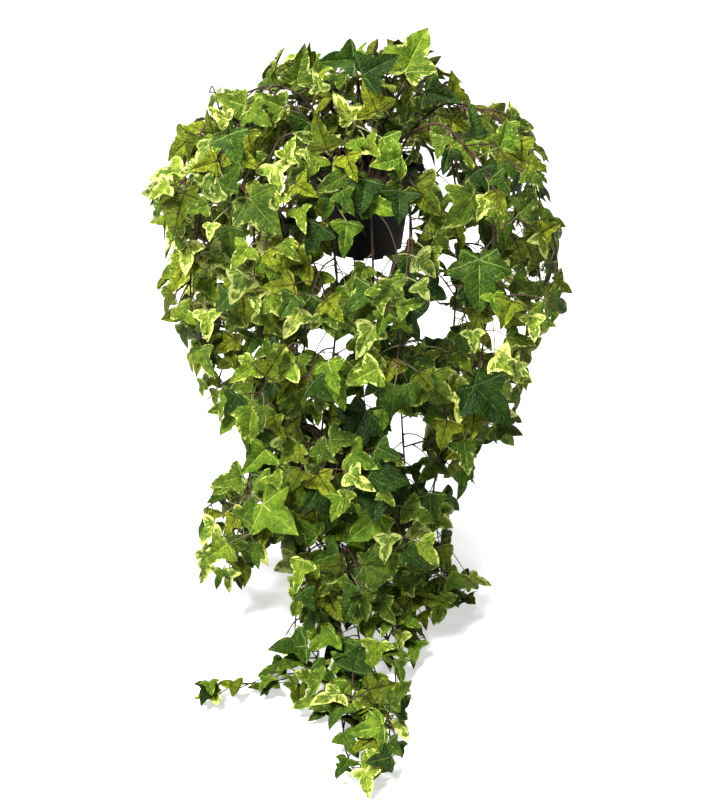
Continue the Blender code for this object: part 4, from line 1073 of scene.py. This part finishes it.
    def crowding(self, leaf):
        """How close the nearest leaf lies, nearest last; depth counts for less."""
        nearest = CROWD_REACH
        for other in self.leaves:
            gap = other.middle - leaf.middle
            nearest = min(nearest, math.sqrt(gap.x ** 2 + gap.z ** 2 + CROWD_DEPTH * gap.y ** 2))
        return -nearest

    def toss(self, reach=(1.0, 1.0, 1.0)):
        """A random vector, each part of it up to its reach either way."""
        return Vector([self.draw.uniform(-part, part) for part in reach])

    def draw_leaf(self, name, root, along, young):
        """One random leaf for a spot: it reaches out, faces out and up, and its tip hangs."""
        draw = self.draw
        spin = self.toss()
        sideways = (spin - along * spin.dot(along)).normalized()
        outward = outward_from(root)
        stalk = (sideways + outward * STALK_OUT + along * STALK_AHEAD).normalized()
        length = self.growth * young * draw.uniform(*LEAF_SPREAD)
        base = root + stalk * (draw.uniform(*STALK_REACH) + STALK_SHARE * length)
        front = FRONT_LEAN if root.y < FRONT_HALF else BACK_LEAN
        jitter = self.toss() * JITTER
        face = (outward * OUT_SHARE + front + SKY_LEAN + jitter).normalized()
        hang = HANG if root.z < CROWN_HEIGHT else RISE
        if root.z < FLOOR + NEAR_FLOOR:
            base.z = max(base.z, root.z + 2.0 * WALK)
            face = (FLOOR_LEAN + jitter * FLOOR_JITTER).normalized()
            hang = FLOOR_RUN
        tip = stalk + hang + self.toss(SWAY)
        tip = (tip - face * tip.dot(face)).normalized()
        return Leaf(name, root, base, tip, face, length, draw)


ivy = Ivy()

# The stems' pieces, in four finishes: the bark of stems and of shoots, pale stalks and red ones
STEM, SHOOT, PALE, RED = range(4)
BARK_RADIUS = 0.00135
SHOOT_RADIUS = 0.00100
BARK_TAPER, BLUNT_END = 0.38, 0.45
BARK_SIDES = 8
FINE_STEP = 0.007
JOINT_SWELL, JOINT_SPREAD = 1.45, 0.0028
STALK_RADIUS = 0.00062
STALK_PROFILE = (1.7, 1.2, 1.0, 1.0, 1.0, 1.0, 1.15, 0.5)
STALK_BOW, STALK_SWERVE = 0.09, 0.08
STALK_SIDES = 6
PALE_SHARE = 0.7
STUB_EVERY = 0.085
STUB_REACH = (0.004, 0.009)
STUB_RADII = (0.0008, 0.0007, 0.0005)
CRACK_BROWN = (0.018, 0.009, 0.006, 1.0)


def bark(name, young, old, ridge):
    """A bark finish: two browns in streaks, dull, with fine cracks."""
    material, tree, shader = new_finish(name, old, 0.6, 0.3)
    spot = place(tree, "ShaderNodeTexCoord").outputs["Object"]
    patch = noise(tree, spot, 26.0, 3.0)
    cracks = noise(tree, spot, 1500.0, 4.0)
    colour = blend(tree, ramp(tree, patch, 0.38, 0.64), old, young)
    dark = ramp(tree, cracks, 0.62, 0.42, 0.0, 0.55)
    tree.links.new(blend(tree, dark, colour, CRACK_BROWN), shader.inputs["Base Color"])
    tree.links.new(ramp(tree, cracks, 0.3, 0.7, 0.75, 0.45), shader.inputs["Roughness"])
    relief(tree, shader, cracks, ridge, 0.0003)
    return material


BARKS = [
    bark("stem_bark", (0.080, 0.040, 0.021, 1.0), (0.028, 0.016, 0.010, 1.0), 0.8),
    bark("shoot_bark", (0.085, 0.038, 0.019, 1.0), (0.040, 0.020, 0.013, 1.0), 0.6),
    bark("pale_stalk", (0.360, 0.360, 0.130, 1.0), (0.180, 0.200, 0.060, 1.0), 0.2),
    bark("red_stalk", (0.120, 0.056, 0.026, 1.0), (0.060, 0.027, 0.017, 1.0), 0.3),
]


class Pile:
    """Points and faces of many solids in one mesh, with a material number for each face."""

    def __init__(self):
        self.points, self.faces, self.kinds = [], [], []

    def add(self, shape, kind):
        """Add one closed solid, with one material number or a list of them."""
        points, faces = shape
        start = len(self.points)
        self.points += points
        self.faces += [tuple(start + corner for corner in face) for face in faces]
        self.kinds += kind if isinstance(kind, list) else [kind] * len(faces)

    def piece(self, name, materials):
        """The mesh object of the whole pile."""
        made = add_piece(name, self.points, self.faces, materials)
        made.data.polygons.foreach_set("material_index", self.kinds)
        return made


def round_line(line):
    """The same line in fine steps, smooth at its corners."""
    return smooth_line(line, FINE_STEP) if len(line) > 2 else line


def stem_solid(line, index, joints):
    """A round stem or side shoot along a line, thicker at its joints and blunt at its end."""
    fine = [line[0]] + round_line(line[1:]) if index == 0 else round_line(line)
    thick = BARK_RADIUS if index == 0 else SHOOT_RADIUS
    radii = []
    for i, point in enumerate(fine):
        near = min([(point - joint).length for joint in joints], default=1.0)
        swell = 1.0 + (JOINT_SWELL - 1.0) * math.exp(-(near / JOINT_SPREAD) ** 2)
        radii.append(thick * (1.0 - BARK_TAPER * i / len(fine)) * swell)
    radii[-1] *= BLUNT_END
    return tube(fine, radii, BARK_SIDES)


def stalk_solid(leaf, draw):
    """A leaf's stalk: it leaves the stem at an angle and bends over into the blade."""
    reach = leaf.base - leaf.root
    lift = Vector((0.0, 0.0, 1.0)) - reach.normalized() * reach.normalized().z
    bow = lift * (STALK_BOW * reach.length * draw.uniform(0.2, 1.0)) + leaf.side * (
        STALK_SWERVE * reach.length * draw.uniform(-1.0, 1.0))
    centres = []
    for i in range(7):
        t = i / 6.0
        centres.append(leaf.root.lerp(leaf.base, t) + bow * (4.0 * t * (1.0 - t)))
    centres.append(leaf.at(0.0, 0.03, 0.0))
    return tube(centres, [STALK_RADIUS * share for share in STALK_PROFILE], STALK_SIDES)


for name, lines in ivy.shoots.items():
    draw = random.Random(name)
    pile = Pile()
    leaves = [leaf for leaf in ivy.leaves if leaf.vine == name]
    joints = [leaf.root for leaf in leaves]
    for index, line in enumerate(lines):
        pile.add(stem_solid(line, index, joints), STEM if index == 0 else SHOOT)
        for spot in walk(line, STUB_EVERY)[1:]:
            way = Vector((draw.uniform(-1, 1), draw.uniform(-1, 1), draw.uniform(-0.4, 0.8)))
            end = spot + way.normalized() * draw.uniform(*STUB_REACH)
            if place_is_free(end) and small_place_is_free(end):
                pile.add(tube([spot, spot.lerp(end, 0.6), end], STUB_RADII, STALK_SIDES), SHOOT)
    for leaf in leaves:
        pale = leaf.kind in "CMB" and draw.random() < PALE_SHARE
        pile.add(stalk_solid(leaf, draw), PALE if pale else RED)
    stems = pile.piece("stems_" + name, BARKS)
    smooth(stems, 50.0)
    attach(stems, "root")
    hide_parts("vine_" + name)


# The leaves
# Lobed ivy blades, a third of a millimetre thick, each with its veins pressed in, its sides
# folded up and its lobes curled. The upper faces come in five colourings, and the backs are pale.
SHEET = 0.00036
RINGS = (0.36, 0.68, 0.90, 1.0)
CENTRE = (0.0, 0.10)
EDGE_REACH = 0.25
VEIN_ANGLES = (90.0, 21.8, -33.7)
LOWEST_FIVE, LOWEST_THREE = -28.0, -75.0
PUCKER, PUCKER_REACH = (0.22, 0.62), 0.12
WAVE, WAVE_REACH, WAVES = (0.012, 0.045), 0.16, 5.0
DROOP, DROOP_FROM = (-0.2, 1.6), 0.25
TWIST = (-0.12, 0.12)


def bowed(start, end, leave, arrive, count):
    """Points of an edge from start to end, which leaves and arrives in the given directions."""
    reach = (end - start).length
    first = Vector(leave).normalized() * reach
    last = Vector(arrive).normalized() * reach
    spots = []
    for i in range(count):
        t = i / count
        spots.append(start * (2 * t ** 3 - 3 * t ** 2 + 1) + first * (t ** 3 - 2 * t ** 2 + t)
                     + end * (3 * t ** 2 - 2 * t ** 3) + last * (t ** 3 - t ** 2))
    return spots


def half_edge(five, wide):
    """Half of a blade's edge, base to tip: full lobes with rounded notches between them."""
    base, tip = Vector((0.0, 0.0)), Vector((0.0, 1.0))
    if five:
        low, notch, lobe, high = [Vector((x * wide, y)) for x, y in FIVE_LOBES]
        return (bowed(base, low, (0.2, -0.6), (1.0, 0.1), 5)
                + bowed(low, notch, (0.5, 0.7), (-0.1, 1.0), 3)
                + bowed(notch, lobe, (1.0, 0.0), (0.65, 0.75), 4)
                + bowed(lobe, high, (-0.30, 0.95), (-0.80, 0.60), 5)
                + bowed(high, tip, (0.32, 0.94), (-0.55, 0.83), 7) + [tip])
    lobe, high = [Vector((x * wide, y)) for x, y in THREE_LOBES]
    return (bowed(base, lobe, (0.8, -0.75), (0.6, 0.7), 5)
            + bowed(lobe, high, (-0.25, 0.97), (-0.75, 0.65), 4)
            + bowed(high, tip, (0.30, 0.95), (-0.52, 0.85), 6) + [tip])


def edge_distance(spot, ring):
    """How far a spot of the blade is from its edge."""
    nearest = 1.0
    for a, b in zip(ring, ring[1:] + ring[:1]):
        along = b - a
        share = min(max((spot - a).dot(along) / max(along.length_squared, 1e-12), 0.0), 1.0)
        nearest = min(nearest, (a + along * share - spot).length)
    return nearest


def vein_map(five, wide, x, y):
    """A spot's place on the vein pattern, where the lobes of every blade point the same way."""
    lobe_across, lobe_along = FIVE_LOBES[2] if five else THREE_LOBES[0]
    turn = math.degrees(math.atan2(lobe_along, lobe_across * wide))
    angle = math.degrees(math.atan2(y, abs(x)))
    top, side, low = VEIN_ANGLES
    if angle > turn:
        warped = side + (angle - turn) * (top - side) / (top - turn)
    else:
        share = (turn - angle) / (turn - (LOWEST_FIVE if five else LOWEST_THREE))
        warped = side + (low - side) * share
    radius = math.hypot(x, y)
    bearing = math.radians(warped)
    return math.copysign(radius * math.cos(bearing), x), radius * math.sin(bearing)


PATTERNS = {}


def blade_pattern(five, wide):
    """The flat pattern that blades of one width are cut to, with its vein map and its edge."""
    if (five, wide) not in PATTERNS:
        half = half_edge(five, wide)
        ring = half + [Vector((-spot.x, spot.y)) for spot in reversed(half[1:-1])]
        centre = Vector(CENTRE)
        spots = [centre] + [centre.lerp(spot, share) for share in RINGS for spot in ring]
        away = [edge_distance(spot, ring) for spot in spots]
        chart = [vein_map(five, wide, spot.x, spot.y) for spot in spots]
        off_vein = [min(abs(abs(u) * math.sin(math.radians(a)) - v * math.cos(math.radians(a)))
                        for a in VEIN_ANGLES) for u, v in chart]
        count, layer = len(ring), len(spots)
        top = [(0, 1 + i, 1 + (i + 1) % count) for i in range(count)]
        for k in range(len(RINGS) - 1):
            inner, outer = 1 + k * count, 1 + (k + 1) * count
            for i in range(count):
                j = (i + 1) % count
                top.append((inner + i, outer + i, outer + j, inner + j))
        under = [tuple(layer + corner for corner in reversed(face)) for face in top]
        rim = 1 + (len(RINGS) - 1) * count
        side = [(rim + i, layer + rim + i, layer + rim + (i + 1) % count, rim + (i + 1) % count)
                for i in range(count)]
        PATTERNS[(five, wide)] = (spots, away, chart, off_vein, top, under, side)
    return PATTERNS[(five, wide)]


def blade_points(leaf, draw):
    """The points of one blade, upper and then lower face, kept inside the CAD part's box."""
    spots, away, _, off_vein = blade_pattern(leaf.five, round(leaf.wide, 2))[:4]
    pucker, wave, start = draw.uniform(*PUCKER), draw.uniform(*WAVE), draw.uniform(0.0, 6.3)
    droop, twist = draw.uniform(*DROOP), draw.uniform(*TWIST)
    upper, lower = [], []
    for (x, y), gap, vein in zip(spots, away, off_vein):
        height = leaf.fold * abs(x) - leaf.curl * y * abs(y) + pucker * min(vein, PUCKER_REACH)
        height += (wave * max(0.0, 1.0 - gap / WAVE_REACH)
                   * math.sin(start + WAVES * math.atan2(y - CENTRE[1], x)))
        height += twist * x * y - droop * max(0.0, abs(x) - DROOP_FROM) ** 2
        flat = leaf.base + (leaf.side * x + leaf.tip * y + leaf.face * height) * leaf.length
        upper.append(flat + leaf.face * (0.5 * SHEET))
        lower.append(flat - leaf.face * (0.5 * SHEET))
    points = upper + lower
    back = Vector()
    for k in range(3):
        values = [point[k] for point in points]
        back[k] = max(0.0, CAD_BOX[0][k] - min(values)) - max(0.0, max(values) - CAD_BOX[1][k])
    return [point + back for point in points]


def plus(tree, first, second):
    """The sum of two values in a node tree."""
    return calculate(tree, "ADD", first, second)


def minus(tree, first, second):
    """The first value less the second."""
    return calculate(tree, "SUBTRACT", first, second)


def times(tree, first, second):
    """The product of two values."""
    return calculate(tree, "MULTIPLY", first, second)


def vein_pattern():
    """The node group that every leaf colouring shares: veins, net, margin and mottling."""
    group = bpy.data.node_groups.new("ivy_leaf_pattern", "ShaderNodeTree")
    for name in ("Vein Width", "Margin", "Margin Patches"):
        group.interface.new_socket(name, in_out="INPUT", socket_type="NodeSocketFloat")
    for name in ("Vein", "Net", "Margin", "Mottle", "Tone", "Height"):
        group.interface.new_socket(name, in_out="OUTPUT", socket_type="NodeSocketFloat")
    given = place(group, "NodeGroupInput").outputs
    marks = place(group, "ShaderNodeAttribute", attribute_name="leaf_marks")
    split = place(group, "ShaderNodeSeparateColor", {"Color": marks.outputs["Color"]})
    away, tone, seed = split.outputs[0], split.outputs[1], split.outputs[2]

    # The blade's flat map, with a different slice of every noise for each leaf
    chart = place(group, "ShaderNodeUVMap", uv_map="leaf_map")
    part = place(group, "ShaderNodeSeparateXYZ", {"Vector": chart.outputs["UV"]})
    sideways, along = part.outputs["X"], part.outputs["Y"]
    across = calculate(group, "ABSOLUTE", sideways)
    slice_of_leaf = times(group, seed, 40.0)
    spot = place(group, "ShaderNodeCombineXYZ",
                 {"X": sideways, "Y": along, "Z": slice_of_leaf}).outputs[0]

    # Main veins from the stalk to each lobe's tip, which waver and thin out
    waver = noise(group, spot, 5.0)
    bend = times(group, minus(group, waver, 0.5), 0.07)
    vein = None
    for degrees in VEIN_ANGLES:
        sine, cosine = math.sin(math.radians(degrees)), math.cos(math.radians(degrees))
        off = minus(group, times(group, across, sine), times(group, along, cosine))
        off = calculate(group, "ABSOLUTE", plus(group, off, bend))
        run = plus(group, times(group, across, cosine), times(group, along, sine))
        thin = times(group, given["Vein Width"], ramp(group, run, 0.0, 1.0, 1.0, 0.3))
        line = ramp(group, off, times(group, thin, 1.6), times(group, thin, 0.4))
        line = times(group, line, ramp(group, run, -0.01, 0.02))
        vein = line if vein is None else calculate(group, "MAXIMUM", vein, line)

    # Side ribs and the fine net of veins between them
    ribs = minus(group, along, times(group, across, 0.75))
    ribs = plus(group, times(group, ribs, 6.5), times(group, waver, 1.3))
    ribs = calculate(group, "ABSOLUTE", minus(group, calculate(group, "FRACT", ribs), 0.5))
    cells = place(group, "ShaderNodeTexVoronoi", {"Vector": spot, "Scale": 13.0},
                  feature="DISTANCE_TO_EDGE").outputs["Distance"]
    net = calculate(group, "MAXIMUM", ramp(group, ribs, 0.07, 0.015, 0.0, 0.8),
                    ramp(group, cells, 0.07, 0.01, 0.0, 0.6))

    # Streaks that run out from the stalk, and the pale margin, which they make uneven
    bearing = calculate(group, "ARCTAN2", along, sideways)
    radius = calculate(group, "SQRT", plus(group, times(group, across, across),
                                           times(group, along, along)))
    ray = place(group, "ShaderNodeCombineXYZ",
                {"X": times(group, bearing, 3.2), "Y": times(group, radius, 1.8),
                 "Z": slice_of_leaf}).outputs[0]
    patches = noise(group, spot, 3.2)
    streaks = noise(group, ray, 2.6, 3.0)
    uneven = plus(group, minus(group, patches, 0.5),
                  times(group, minus(group, streaks, 0.5), 1.1))
    width = plus(group, given["Margin"], times(group, uneven, given["Margin Patches"]))
    margin = ramp(group, minus(group, away, width), 0.06, -0.06)

    # Mottled greens, and the relief: a quilted blade with its veins sunk in
    broad = noise(group, spot, 4.0, 2.0, 0.6)
    fine = noise(group, spot, 26.0, 3.0, 1.0)
    mottle = plus(group, times(group, broad, 0.40), times(group, fine, 0.25))
    mottle = plus(group, mottle, times(group, streaks, 0.35))
    quilt = plus(group, ramp(group, ribs, 0.0, 0.32), ramp(group, cells, 0.0, 0.3))
    height = plus(group, times(group, quilt, 0.35), mottle)
    sunk = calculate(group, "MAXIMUM", vein, times(group, net, 0.5))
    height = minus(group, height, times(group, sunk, 0.8))
    place(group, "NodeGroupOutput", {"Vein": vein, "Net": net, "Margin": margin,
                                     "Mottle": mottle, "Tone": tone, "Height": height})
    return group


LEAF_PATTERN = vein_pattern()
LEAF_SPECULAR = 0.13
NET_SHARE = 0.30
DARKEST, LIGHTEST = 0.52, 1.36
YELLOWEST, GREENEST = 0.484, 0.503


def leaf_finish(name, green, patch, edge, vein, margin, patches, vein_width, vein_share, gloss):
    """One colouring of the upper face: two greens in patches, a pale margin and its veins."""
    material, tree, shader = new_finish(name, (*green, 1.0), gloss[0], LEAF_SPECULAR)
    mask = place(tree, "ShaderNodeGroup",
                 {"Vein Width": vein_width, "Margin": margin, "Margin Patches": patches},
                 node_tree=LEAF_PATTERN).outputs
    colour = blend(tree, ramp(tree, mask["Mottle"], 0.42, 0.60), (*green, 1.0), (*patch, 1.0))
    colour = blend(tree, times(tree, mask["Net"], NET_SHARE * vein_share), colour, (*vein, 1.0))
    colour = blend(tree, mask["Margin"], colour, (*edge, 1.0))
    colour = blend(tree, times(tree, mask["Vein"], vein_share), colour, (*vein, 1.0))
    toned = place(tree, "ShaderNodeHueSaturation",
                  {"Color": colour, "Value": ramp(tree, mask["Tone"], 0.0, 1.0, DARKEST, LIGHTEST),
                   "Hue": ramp(tree, mask["Tone"], 1.0, 0.0, YELLOWEST, GREENEST)})
    tree.links.new(toned.outputs["Color"], shader.inputs["Base Color"])
    tree.links.new(ramp(tree, mask["Mottle"], 0.3, 0.7, *gloss), shader.inputs["Roughness"])
    relief(tree, shader, mask["Height"], 0.8, 0.0015)
    return material


# One finish for each letter of KINDS, and the pale back of every blade
LEAF_FINISHES = [
    leaf_finish("leaf_dark", green=(0.009, 0.033, 0.001), patch=(0.030, 0.080, 0.003),
                edge=(0.110, 0.180, 0.030), vein=(0.150, 0.240, 0.055), margin=-0.16,
                patches=1.0, vein_width=0.012, vein_share=0.75, gloss=(0.36, 0.50)),
    leaf_finish("leaf_edged", green=(0.034, 0.084, 0.003), patch=(0.130, 0.210, 0.010),
                edge=(0.440, 0.520, 0.120), vein=(0.320, 0.420, 0.075), margin=0.0,
                patches=1.15, vein_width=0.011, vein_share=0.65, gloss=(0.40, 0.56)),
    leaf_finish("leaf_olive", green=(0.070, 0.110, 0.004), patch=(0.195, 0.255, 0.010),
                edge=(0.400, 0.450, 0.060), vein=(0.045, 0.020, 0.006), margin=-0.10,
                patches=1.1, vein_width=0.014, vein_share=0.90, gloss=(0.44, 0.60)),
    leaf_finish("leaf_cream", green=(0.050, 0.122, 0.006), patch=(0.240, 0.335, 0.028),
                edge=(0.550, 0.610, 0.160), vein=(0.460, 0.520, 0.140), margin=0.29,
                patches=2.0, vein_width=0.013, vein_share=0.50, gloss=(0.42, 0.56)),
    leaf_finish("leaf_bright", green=(0.030, 0.095, 0.003), patch=(0.108, 0.200, 0.008),
                edge=(0.320, 0.420, 0.060), vein=(0.320, 0.420, 0.070), margin=-0.10,
                patches=1.1, vein_width=0.012, vein_share=0.70, gloss=(0.36, 0.54)),
    leaf_finish("leaf_back", green=(0.120, 0.160, 0.014), patch=(0.200, 0.240, 0.026),
                edge=(0.400, 0.430, 0.090), vein=(0.120, 0.095, 0.022), margin=-0.04,
                patches=1.0, vein_width=0.016, vein_share=0.60, gloss=(0.55, 0.68)),
]

for name in VINES:
    draw = random.Random("leaves of " + name)
    pile = Pile()
    maps, marks = [], []
    for leaf in ivy.leaves:
        if leaf.vine != name:
            continue
        _, away, chart, _, top, under, side = blade_pattern(leaf.five, round(leaf.wide, 2))
        points = blade_points(leaf, draw)
        tone, seed = draw.random(), draw.random()
        maps += chart + chart
        marks += [(min(1.0, gap / EDGE_REACH), tone, seed, 1.0) for gap in away + away]
        upper_kind = KINDS.index(leaf.kind)
        kinds = [upper_kind] * len(top) + [len(KINDS)] * len(under) + [upper_kind] * len(side)
        pile.add((points, top + under + side), kinds)
    leaves = pile.piece("leaves_" + name, LEAF_FINISHES)
    mesh = leaves.data
    corners = [0] * len(mesh.loops)
    mesh.loops.foreach_get("vertex_index", corners)
    chart = mesh.uv_layers.new(name="leaf_map")
    chart.data.foreach_set("uv", [value for corner in corners for value in maps[corner]])
    paint = mesh.color_attributes.new(name="leaf_marks", type="FLOAT_COLOR", domain="POINT")
    paint.data.foreach_set("color", [value for mark in marks for value in mark])
    smooth(leaves, 55.0)
    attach(leaves, "root")
    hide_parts("vine_" + name)


# The stage
# A plain white studio floor that the longest stems lie on, soft light from above and a camera
# at the photograph's height and tilt.
HALF_FLOOR = 14.0
FLOOR_GLOW = 0.55
SKY_LIGHT, SKY_SEEN = 0.15, 0.85
LIT_SPOT = Vector((0.0, 0.0, -0.2))
WHITE = (1.0, 1.0, 1.0, 1.0)

# The floor and the sky look white to the camera, and light the plant less than they look
floor_white, tree, shader = new_finish("studio_floor", (0.86, 0.86, 0.86, 1.0), 0.9, 0.0)
shader.inputs["Emission Color"].default_value = WHITE
seen = place(tree, "ShaderNodeLightPath").outputs["Is Camera Ray"]
tree.links.new(times(tree, seen, FLOOR_GLOW), shader.inputs["Emission Strength"])
corners = [(x * HALF_FLOOR, y * HALF_FLOOR, FLOOR) for x, y in ((-1, -1), (1, -1), (1, 1), (-1, 1))]
floor = add_piece("studio_floor", corners, [(0, 1, 2, 3)], [floor_white])

world = bpy.data.worlds.new("studio")
world.use_nodes = True
tree = world.node_tree
backdrop = tree.nodes["Background"]
backdrop.inputs["Color"].default_value = WHITE
seen = place(tree, "ShaderNodeLightPath").outputs["Is Camera Ray"]
tree.links.new(ramp(tree, seen, 0.0, 1.0, SKY_LIGHT, SKY_SEEN), backdrop.inputs["Strength"])
bpy.context.scene.world = world


def soft_box(name, at, size, power):
    """A square studio light that faces the middle of the plant."""
    light = bpy.data.lights.new(name, "AREA")
    light.shape = "SQUARE"
    light.size = size
    light.energy = power
    box = bpy.data.objects.new(name, light)
    box.location = at
    box.rotation_euler = (LIT_SPOT - Vector(at)).to_track_quat("-Z", "Y").to_euler()
    bpy.context.scene.collection.objects.link(box)


soft_box("key", (-1.0, -1.2, 2.0), 0.75, 162.0)
soft_box("top", (0.5, 0.7, 2.1), 0.7, 58.0)

camera = bpy.data.cameras.new("camera")
camera.lens = LENS
camera.sensor_width = SENSOR
camera.clip_end = 60.0
viewer = bpy.data.objects.new("camera", camera)
viewer.location = VIEWPOINT
viewer.rotation_euler = (math.radians(90.0 - TILT_DOWN), 0.0, 0.0)
bpy.context.scene.collection.objects.link(viewer)
bpy.context.scene.camera = viewer
bpy.context.scene.view_settings.view_transform = "Standard"
